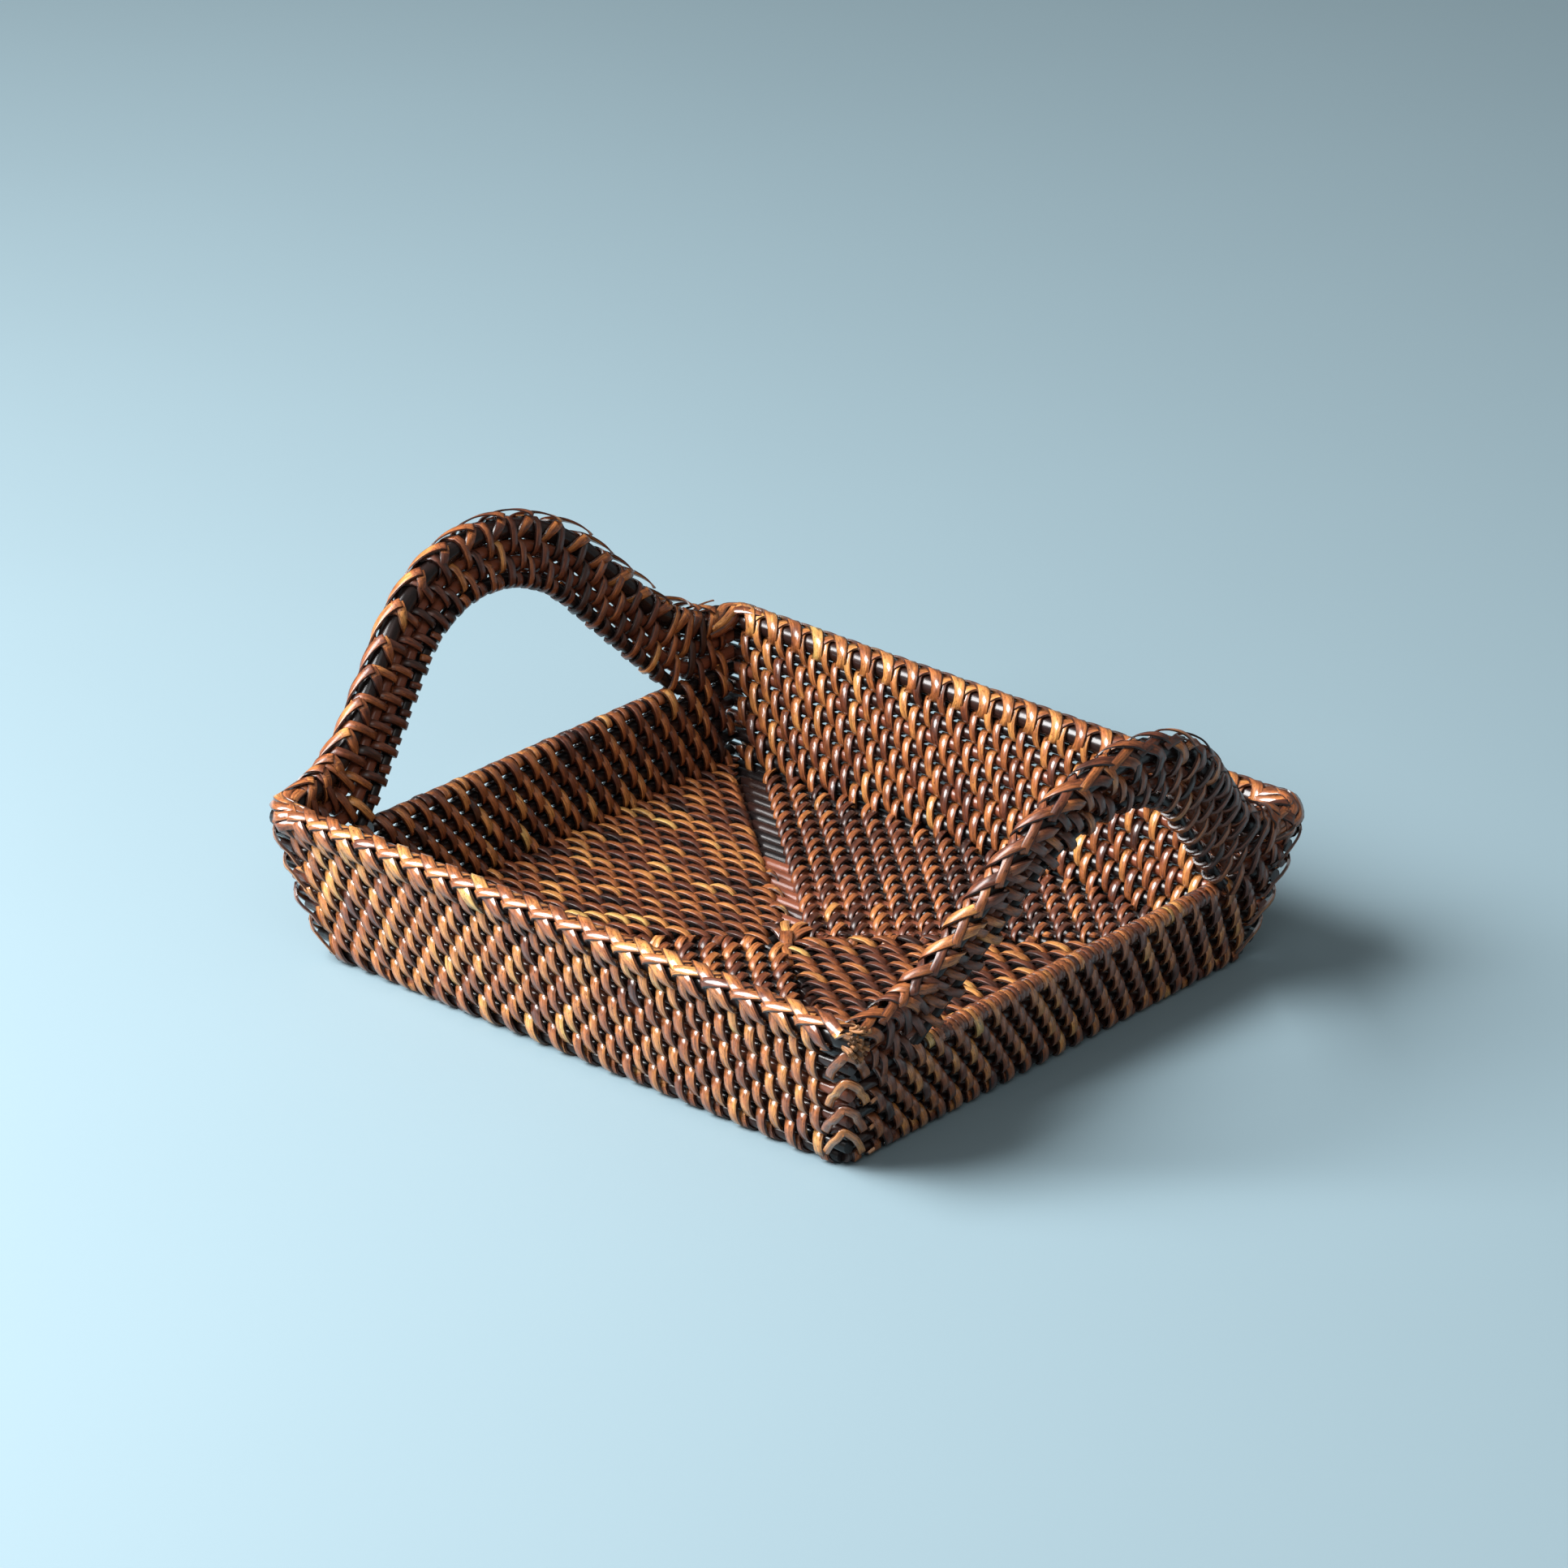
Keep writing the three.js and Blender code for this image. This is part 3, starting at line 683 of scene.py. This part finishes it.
def cornerLoops(strands, wall, nextWall, courses, seed):
    """Ties the ends of two walls' rods together, each strip over a pair of rods."""
    random = np.random.default_rng(seed)
    for low, high in courses:
        foot = low - shownRod - loopDrop
        middle = (low + high) / 2
        half = list(zip(loopHalf, (foot - loopEntry, foot, low, middle, high)))
        path = [wall.point(wall.reach(slant) - clear, slant, n) for (clear, n), slant in half]
        beyond, above, out = loopCrown
        path.append(wall.point(wall.reach(high) + beyond, high + above, out))
        for (clear, n), slant in reversed(half):
            path.append(nextWall.point(clear - nextWall.reach(slant), slant, n))
        strays = random.uniform(-pointStray, pointStray, (len(path), 3))
        path = np.array(path) + strays + random.uniform(-loopStray, loopStray, 3)
        inset, depth = loopCentre
        centre = wall.point(wall.reach(middle) - inset, middle, depth)
        line = smoothLine(path, 4)
        width = loopWidth * random.uniform(*loopWidths)
        strands.strip(line, unit(line - centre), width, borderThick, toneOf(random, loopTint))


def cornerWraps(strands, wall, nextWall, seed):
    """Carries the border's strips round a corner of the rim, with a twist."""
    random = np.random.default_rng(seed)
    for middle in wrapAngles:
        path = []
        facing = []
        shift = random.uniform(0, wrapShift)
        for panel, side, steps in ((wall, 1, wrapSteps), (nextWall, -1, wrapSteps[::-1])):
            for clear, away in steps:
                angle = math.radians(middle + side * wrapTwist * clear)
                s = rimSlant + away * math.cos(angle)
                n = away * math.sin(angle)
                path.append(panel.point(side * (panel.reach(s) - clear - shift), s, n))
                facing.append(math.cos(angle) * panel.slope + math.sin(angle) * panel.face)
        facing = unit(smoothLine(facing, 4))
        strands.strip(smoothLine(path, 4), facing, wrapWidth, borderThick, toneOf(random, wrapTint))


def raggedEnd(strands, wall, seed):
    """Torn fibres at the sawn end of a rim rod."""
    random = np.random.default_rng(seed)
    end = wall.reach(rimSlant) + rimRadius
    steps = np.linspace(0, 1, 5)
    splay = 1 + fibreSplay * steps ** 2
    for _ in range(fibreCount):
        away = fibreSpread * rimRadius * math.sqrt(random.uniform(0, 1))
        angle = random.uniform(0, 2 * math.pi)
        u = end + steps * random.uniform(*fibreReach) - fibreRoot * (1 - steps)
        s = rimSlant + away * math.cos(angle) * splay
        points = wall.point(u, s, away * math.sin(angle) * splay)
        strands.rod(points, random.uniform(*fibreRadii), random.uniform(0, 1), fibreSides)


def seamCord(strands, start, end, turns, seed):
    """Winds a strip along a seam of the base."""
    random = np.random.default_rng(seed)
    ahead = unit(end - start)
    side = np.array([-ahead[1], ahead[0], 0.0])
    turn = np.arange(turns * seamSteps + 1) / seamSteps
    share = (turn / turns)[:, None]
    middle = start + (end - start) * share + seamLift * upward
    around = turned(2 * math.pi * turn, seamHigh * upward, seamWide * side)
    points = middle + around + upward * wander(random, seamLiftKnots, turn, seamStray)[:, None]
    tone = stitchTone(random, seamToneKnots, turn, redTint)
    strands.strip(points, unit(around), seamStrip, borderThick, tone)


def centreTies(strands, seed):
    """Strips that bind the crossing of the seams: one over the middle and six that lead into it."""
    random = np.random.default_rng(seed)
    slope = math.atan2(endHalf, longHalf)
    across = np.array([math.cos(slope), math.sin(slope), 0.0])
    ahead = np.array([-math.sin(slope), math.cos(slope), 0.0])
    lines = [(smoothLine([away * ahead + high * upward for away, high in tieArc], 4), tieWidth)]
    for turn in spokeAngles:
        spoke = math.cos(turn) * across + math.sin(turn) * ahead
        beside = math.copysign(1, turn) * np.cross(upward, spoke)
        line = [away * spoke + sway * beside + high * upward for away, sway, high in spokeArc]
        lines.append((smoothLine(line, 4), spokeWidth))
    for line, width in lines:
        strands.strip(line, np.tile(upward, (len(line), 1)), width, borderThick, toneOf(random, redTint))


def straightLine(slant, start, end, stray, random):
    """Shares, places and depths of a nearly straight rod, which strays a little."""
    knots = random.uniform(-stray, stray, (2, rodKnots))
    spots = np.linspace(0, rodKnots - 1, rodSteps)
    astray = [np.interp(spots, np.arange(rodKnots), knot) for knot in knots]
    return np.linspace(start, end, rodSteps), slant + astray[0], astray[1]


# Colours, from the darkest tone to the brightest
peelShade = [
    (0.0, (0.035, 0.012, 0.008)),
    (0.3, (0.15, 0.04, 0.017)),
    (0.55, (0.37, 0.117, 0.034)),
    (0.8, (0.64, 0.27, 0.075)),
    (1.0, (0.66, 0.4, 0.12)),
]
speckShade = [(0.33, (0.25, 0.2, 0.2)), (0.42, (1, 1, 1))]
# Darkening towards each strip's edges and over its sides: partly the cut edges' colour, partly painted
# shade
edgeCutAndShadow = [(0.78, (1, 1, 1)), (0.9, (0.16, 0.12, 0.12))]
rodShade = [(0.45, (0.008, 0.006, 0.006)), (0.8, (0.035, 0.012, 0.008)), (1.1, (0.17, 0.05, 0.025))]
fibreShade = [(0.1, (0.02, 0.012, 0.01)), (0.9, (0.3, 0.14, 0.06))]
floorColour = (0.19, 0.27, 0.31)
skyColour = (0.95, 0.93, 0.9, 1)

# Grain, as (changes per millimetre along a strip, changes over half its width)
peelStreaks = (0.16, 2.6)
peelPatches = (0.12, 0.5)
peelSpecks = (0.9, 5.0)
rodStreaks = (0.1, 2.0)
rodStretches = (0.02, 0.1)
grainShift = 23.0


class Shader:
    """Builds one procedural material."""

    def __init__(self, name):
        self.material = bpy.data.materials.new(name)
        self.material.use_nodes = True
        self.tree = self.material.node_tree
        self.surface = self.tree.nodes["Principled BSDF"]

    def add(self, kind, *inputs, **settings):
        node = self.tree.nodes.new(kind)
        for key, value in settings.items():
            setattr(node, key, value)
        for socket, value in inputs:
            self.feed(node, socket, value)
        return node

    def feed(self, node, socket, value):
        if isinstance(value, bpy.types.NodeSocket):
            self.tree.links.new(value, node.inputs[socket])
        else:
            node.inputs[socket].default_value = value

    def dress(self, inputs):
        """Feeds the surface and gives the finished material."""
        for socket, value in inputs.items():
            self.feed(self.surface, socket, value)
        return self.material

    def reading(self, name):
        return self.add("ShaderNodeAttribute", attribute_name=name).outputs["Fac"]

    def compute(self, operation, first, second, third=0.0):
        inputs = [(0, first), (1, second), (2, third)]
        return self.add("ShaderNodeMath", *inputs, operation=operation).outputs[0]

    def between(self, value, low, high):
        """A value from 0 to 1 spread over a range."""
        return self.compute("MULTIPLY_ADD", value, high - low, low)

    def ramp(self, value, stops):
        node = self.add("ShaderNodeValToRGB", (0, value))
        bands = node.color_ramp.elements
        while len(bands) < len(stops):
            bands.new(0.5)
        for band, (place, colour) in zip(bands, stops):
            band.position = place
            band.color = (*colour, 1)
        return node.outputs[0]

    def noise(self, vector, detail=4.0, scale=1.0):
        inputs = [("Vector", vector), ("Scale", scale), ("Detail", detail), ("Roughness", 0.6)]
        return self.add("ShaderNodeTexNoise", *inputs).outputs[0]

    def grain(self, sizes, detail=4.0):
        """Noise stretched along a strip, different for each strip."""
        along = self.compute("MULTIPLY", self.reading("along"), sizes[0])
        across = self.compute("MULTIPLY", self.reading("across"), sizes[1])
        apart = self.compute("MULTIPLY", self.reading("tone"), grainShift)
        place = self.add("ShaderNodeCombineXYZ", (0, along), (1, across), (2, apart))
        return self.noise(place.outputs[0], detail)

    def times(self, first, second):
        """One colour multiplied by another."""
        inputs = [(0, 1.0), (6, first), (7, second)]
        return self.add("ShaderNodeMix", *inputs, data_type="RGBA", blend_type="MULTIPLY").outputs[2]

    def grey(self, value):
        return self.add("ShaderNodeCombineColor", (0, value), (1, value), (2, value)).outputs[0]

    def bump(self, height, strength, distance):
        inputs = [("Height", height), ("Strength", strength), ("Distance", distance)]
        return self.add("ShaderNodeBump", *inputs).outputs[0]


def peelMaterial(name, gloss, blur):
    """Stained and lacquered rattan peel, with streaks along each strip and darker edges: partly the cut
    edges' own colour, partly painted shade.
    """
    shader = Shader(name)
    streaks = shader.grain(peelStreaks)
    patches = shader.between(shader.grain(peelPatches, 2.0), -0.4, 0.4)
    colour = shader.ramp(shader.compute("ADD", patches, shader.reading("tone")), peelShade)
    colour = shader.times(colour, shader.grey(shader.between(streaks, -0.35, 1.85)))
    colour = shader.times(colour, shader.ramp(shader.grain(peelSpecks, 3.0), speckShade))
    # Darker towards the strip's edges and over its sides: partly the cut edges' colour, partly painted
    # shade
    edge = shader.compute("ABSOLUTE", shader.reading("across"), 0.0)
    return shader.dress({
        "Base Color": shader.times(colour, shader.ramp(edge, edgeCutAndShadow)),
        "Roughness": shader.between(streaks, 0.2, 0.6),
        "Specular IOR Level": 0.3,
        "Coat Weight": gloss,
        "Coat Roughness": blur,
        "Normal": shader.bump(streaks, strength=0.4, distance=0.0003),
    })


def rodMaterial(name, shade, gloss):
    """Dark lacquered core rod with brown stretches."""
    shader = Shader(name)
    streaks = shader.grain(rodStreaks)
    value = shader.between(streaks, -0.15, 0.15)
    value = shader.compute("MULTIPLY_ADD", shader.grain(rodStretches, 1.0), 0.4, value)
    value = shader.compute("ADD", shader.reading("tone"), value)
    return shader.dress({
        "Base Color": shader.ramp(value, shade),
        "Roughness": shader.between(streaks, 0.1, 0.5),
        "Specular IOR Level": 0.15,
        "Coat Weight": gloss,
        "Coat IOR": 1.4,
        "Coat Roughness": 0.2,
        "Normal": shader.bump(streaks, strength=0.5, distance=0.0004),
    })


def floorMaterial(name, colour, roughness):
    """Matt paper with a faint cloudiness."""
    shader = Shader(name)
    cloud = shader.noise(shader.add("ShaderNodeTexCoord").outputs["Object"], detail=2.0, scale=3.0)
    shade = shader.ramp(cloud, [(0.2, tuple(0.97 * part for part in colour)), (0.8, colour)])
    return shader.dress({"Base Color": shade, "Roughness": roughness})


peel = peelMaterial("peel", gloss=1.0, blur=0.17)
satinPeel = peelMaterial("satin_peel", gloss=0.45, blur=0.24)
core = rodMaterial("core", rodShade, gloss=1.0)
baseCore = rodMaterial("base_core", rodShade, gloss=0.4)
fibre = rodMaterial("fibre", fibreShade, gloss=0.1)

front = Wall(0, longHalf, endHalf, wallClears["front"], frontDrift)
right = Wall(1, endHalf, longHalf, wallClears["right"])
back = Wall(2, longHalf, endHalf, wallClears["back"])
left = Wall(3, endHalf, longHalf, wallClears["left"])
longWalls = [("front", front), ("back", back)]
endWalls = [("left", left), ("right", right)]

# Core rods of the walls
for side, (name, wall) in enumerate(longWalls):
    random = np.random.default_rng(longRodSeed + side)
    rods = Strands()
    for number, slant in enumerate([*rodSlants, rimSlant]):
        start = -shortEnd if slant == rimSlant else -1.0
        end = -start if name == "back" else 1.0
        share, s, n = straightLine(slant, start, end, rodStray, random)
        radius = rimRadius if slant == rimSlant else shownRod
        points = wall.point(share * (wall.reach(slant) + radius), s, n)
        tones = brownRods if number in brownCourses else blackRods
        rods.rod(points, radius, random.uniform(*tones))
    nodes = [f"{name}_rod_{number}" for number in range(1, wallRodCount + 1)]
    rods.piece(f"{name}_core_rods", "core_rod", core, *nodes, f"{name}_rim_rod")

for side, (name, wall) in enumerate(endWalls):
    random = np.random.default_rng(endRodSeed + side)
    rods = Strands()
    for slant in rodSlants[:lowRodCount]:
        share, s, n = straightLine(slant, -1.0, 1.0, rodStray, random)
        points = wall.point(share * (wall.reach(slant) - rodRadius - rimGap), s, n)
        rods.rod(points, shownRod, random.uniform(*endRods))
    share, s, n = straightLine(railSlant, -1.0, 1.0, slightStray, random)
    rods.rod(wall.point(share * railHalf, s, n), shownRod, railTone)
    nodes = [f"{name}_rod_{number}" for number in range(1, lowRodCount + 1)]
    rods.piece(f"{name}_core_rods", "core_rod", core, *nodes, f"{name}_rail")

# Woven walls
for side, (name, wall) in enumerate(longWalls):
    strands = Strands()
    slants = [edgeSlant, *rodSlants, rimSlant]
    turns = wallTurns[name]
    for row in range(wallRodCount + 1):
        seed = longLaceSeed + sideSeeds * side + row
        highRadius = rimRadius if row == wallRodCount else shownRod
        offset = -wallSteps[name] * (wallRodCount - row)
        lace(strands, wall, slants[row], slants[row + 1], turns, offset, seed, highRadius=highRadius,
             width=longStrips[name], lean=longLeans[name], tint=longTints[name])
    strands.piece(f"{name}_peel_weave", "peel_weave", peel, f"{name}_weave")
    strands = Strands()
    ends = (shortEnd, braidEnd if name == "front" else shortEnd)
    braid(strands, wall, rimSlant, turns, longBraidSeed + side, nearBraid, longLoose, longBraid,
          borderThick, litGoldTint, ends)
    strands.piece(f"{name}_rim_braid", "plaited_border", peel, f"{name}_border")

for side, (name, wall) in enumerate(endWalls):
    strands = Strands()
    slants = [edgeSlant, *rodSlants[:lowRodCount], railSlant]
    turns = wallTurns[name]
    for row in range(lowRodCount + 1):
        seed = endLaceSeed + sideSeeds * side + row
        offset = -wallSteps[name] * (lowRodCount - row)
        lace(strands, wall, slants[row], slants[row + 1], turns, offset, seed, tint=endTints[name])
    railEnd = railHalf / wall.reach(railSlant)
    curls(strands, wall, railSlant, turns, 0.0, railCurlSeed + side, railEnd, railSpots[name], 0.0,
          railStrip)
    strands.piece(f"{name}_peel_weave", "peel_weave", peel, f"{name}_weave")

# Base
quarters = [
    ("front", front, endHalf, longHalf),
    ("right", right, longHalf, endHalf),
    ("back", back, endHalf, longHalf),
    ("left", left, longHalf, endHalf),
]
flared = edgeSlant * math.sin(flare)
baseStrands = Strands()
for side, (name, wall, edge, otherEdge) in enumerate(quarters):
    random = np.random.default_rng(baseRodSeed + side)
    clear = bareSeam if name == "back" else seamClear
    quarter = Quarter(wall, edge + flared, otherEdge + flared, clear)
    rods = Strands()
    for number in range(1, baseRodCount + 1):
        s = quarter.pitch * number
        share, slant, n = straightLine(s, -1.0, 1.0, slightStray, random)
        half = max(s * quarter.widen - seamClear, 1.0)
        tones = reddishRods if name == "back" and number <= reddishCount else baseRods
        rods.rod(quarter.point(share * half, slant, n), rodRadius, random.uniform(*tones))
    rods.piece(f"{name}_base_core", "core_rod", baseCore, f"{name}_base_rods")
    turns = baseTurns[name]
    for row in range(1, baseRodCount):
        seed = baseLaceSeed + quarterSeeds * side + row
        low = quarter.pitch * row
        offset = -baseSteps[name] * (baseRodCount - row)
        lace(baseStrands, quarter, low, low + quarter.pitch, turns, offset, seed, rodRadius, rodRadius,
             baseBows, baseStrips[name], baseLeans[name], baseTints[name])

# Seams of the base, as (corner that each leads to, share of the way, pitch of its turns)
diagonal = np.array([longHalf, endHalf, 0.0])
backSeam = np.array([-longHalf, endHalf, 0.0])
seams = [(-diagonal, 0.55, 10), (diagonal, 0.55, 11), (backSeam, 0.35, 15)]
for number, (ahead, far, spacing) in enumerate(seams):
    start = ahead * seamStart
    end = ahead * far
    seamCord(baseStrands, start, end, round(np.linalg.norm(end - start) / spacing), seamSeed + number)
baseStrands.piece("base_peel_weave", "peel_weave", satinPeel, "base_weave")
ties = Strands()
centreTies(ties, tieSeed)
ties.piece("centre_ties", "peel_weave", peel, "centre_tie")

# Handles
rises = [0.0, rodPitch, 2 * rodPitch, rimRise]
topRow = len(rises) - 2
for side, (name, wall) in enumerate(endWalls):
    hoop = Hoop(wall)
    rods = Strands()
    for rise, tone in zip(rises, hoopTones):
        end = shortEnd if rise == rimRise else 1.0
        share = np.linspace(-end, end, hoopRodSteps)
        points, ups, outs = hoop.place(share, np.full(hoopRodSteps, rise), np.zeros(hoopRodSteps))
        rods.rod(points, rimRadius if rise == rimRise else shownRod, tone, guide=wall.face)
    nodes = [f"{name}_hoop_rod_{number}" for number in range(1, len(rises))]
    rods.piece(f"{name}_hoop_core", "core_rod", baseCore, *nodes, f"{name}_rim_hoop")
    strands = Strands()
    for row in range(topRow + 1):
        seed = hoopLaceSeed + sideSeeds * side + row
        highRadius = rimRadius if row == topRow else shownRod
        bows = topBows if row == topRow else hoopBows
        offset = -hoopStep * (topRow - row)
        lace(strands, hoop, rises[row], rises[row + 1], hoop.turns, offset, seed, highRadius=highRadius,
             bows=bows, width=hoopStrip, lean=hoopLeans[name], tint=hoopTints[name])
    curls(strands, hoop, 0.0, hoop.turns, -topRow * hoopStep, hoopCurlSeed + side, hoopCurlEnd,
          hoopSpots, hoopCurlFacing, hoopStrip, curlTint)
    strands.piece(f"{name}_handle_peel", "peel_weave", satinPeel, f"{name}_handle_weave")
    strands = Strands()
    rimTurns = round(2 * sum(float(part) for part in hoop.lengths(rimRise)) / hoopBraidPitch)
    courses = farBraid if name == "left" else nearBraid
    ends = (braidEnd if name == "right" else shortEnd, shortEnd)
    braid(strands, hoop, rimRise, rimTurns, hoopBraidSeed + side, courses, hoopLoose[name], hoopBraid,
          hoopThick, hoopBraidTints[name], ends)
    strands.piece(f"{name}_rim_braid", "plaited_border", satinPeel, f"{name}_border")

# Corners
corners = [
    ("front_right", front, right),
    ("back_right", right, back),
    ("back_left", back, left),
    ("front_left", left, front),
]
pairs = list(zip(rodSlants[::2], rodSlants[1::2]))
for side, (name, wall, nextWall) in enumerate(corners):
    strands = Strands()
    cornerLoops(strands, wall, nextWall, pairs, loopSeed + side)
    if name != "front_right":
        cornerWraps(strands, wall, nextWall, wrapSeed + side)
    strands.piece(f"{name}_corner_loops", "corner_lacing", peel, f"{name}_lacing")
strands = Strands()
raggedEnd(strands, front, fibreSeed)
strands.piece("front_rim_end", "core_rod", fibre)

# Camera angles of the photograph, what it looks at in millimetres, and its lens
yaw = math.radians(-41.4)
pitch = math.radians(24.3)
roll = math.radians(0.2)
target = np.array([-16.2, 17.1, 52.1])
distance = 2150.0
focalLength = 149.07


# Floor and light, in metres
def sweepFloor():
    """A pale floor that curves up into a backdrop far behind the tray."""
    nearEnd = -2.0
    depth = 3.0
    rise = 1.2
    top = 5.0
    halfWidth = 4.0
    bendSteps = 17
    bends = np.linspace(0, math.pi / 2, bendSteps)[1:]
    profile = [(nearEnd, 0.0), (depth, 0.0)]
    profile += [(depth + rise * math.sin(bend), rise * (1 - math.cos(bend))) for bend in bends]
    profile.append((depth + rise, top))
    behind = np.array([math.sin(yaw), math.cos(yaw), 0.0])
    side = np.array([math.cos(yaw), -math.sin(yaw), 0.0])
    points = []
    for away, height in profile:
        for reach in (-halfWidth, halfWidth):
            points.append((away * behind + height * upward + reach * side).tolist())
    faces = [(2 * i, 2 * i + 1, 2 * i + 3, 2 * i + 2) for i in range(len(profile) - 1)]
    mesh = bpy.data.meshes.new("floor")
    mesh.from_pydata(points, [], faces)
    mesh.polygons.foreach_set("use_smooth", np.ones(len(faces), bool))
    mesh.materials.append(floorMaterial("floor_paper", floorColour, roughness=0.8))
    floor = bpy.data.objects.new("floor", mesh)
    bpy.context.scene.collection.objects.link(floor)


def softLight(name, towards, away, width, height, power):
    """A soft rectangular light that shines on the tray from a direction."""
    light = bpy.data.lights.new(name, "AREA")
    light.shape = "RECTANGLE"
    light.size = width
    light.size_y = height
    light.energy = power
    lamp = bpy.data.objects.new(name, light)
    lamp.location = (unit(np.array(towards)) * away).tolist()
    lamp.rotation_mode = "QUATERNION"
    lamp.rotation_quaternion = (-lamp.location).to_track_quat("-Z", "Y")
    bpy.context.scene.collection.objects.link(lamp)


sweepFloor()
softLight("key", towards=(-0.62, -0.8, 1.0), away=1.6, width=1.1, height=1.2, power=90)
softLight("fill", towards=(0.9, -0.9, 1.4), away=2.2, width=1.2, height=1.2, power=9)
world = bpy.data.worlds.new("studio")
world.use_nodes = True
world.node_tree.nodes["Background"].inputs["Color"].default_value = skyColour
world.node_tree.nodes["Background"].inputs["Strength"].default_value = 0.3
bpy.context.scene.world = world
bpy.context.scene.view_settings.view_transform = "Standard"

# Camera
look = np.array([math.sin(yaw) * math.cos(pitch), math.cos(yaw) * math.cos(pitch), -math.sin(pitch)])
level = np.array([math.cos(yaw), -math.sin(yaw), 0.0])
upright = np.cross(level, look)
lens = bpy.data.cameras.new("camera")
lens.sensor_width = 36.0
lens.lens = focalLength
lens.clip_end = 20
camera = bpy.data.objects.new("camera", lens)
axes = np.eye(4)
axes[:3, 0] = math.cos(roll) * level + math.sin(roll) * upright
axes[:3, 1] = math.cos(roll) * upright - math.sin(roll) * level
axes[:3, 2] = -look
axes[:3, 3] = (target - look * distance) / 1000
camera.matrix_world = Matrix(axes.tolist())
bpy.context.scene.collection.objects.link(camera)
bpy.context.scene.camera = camera
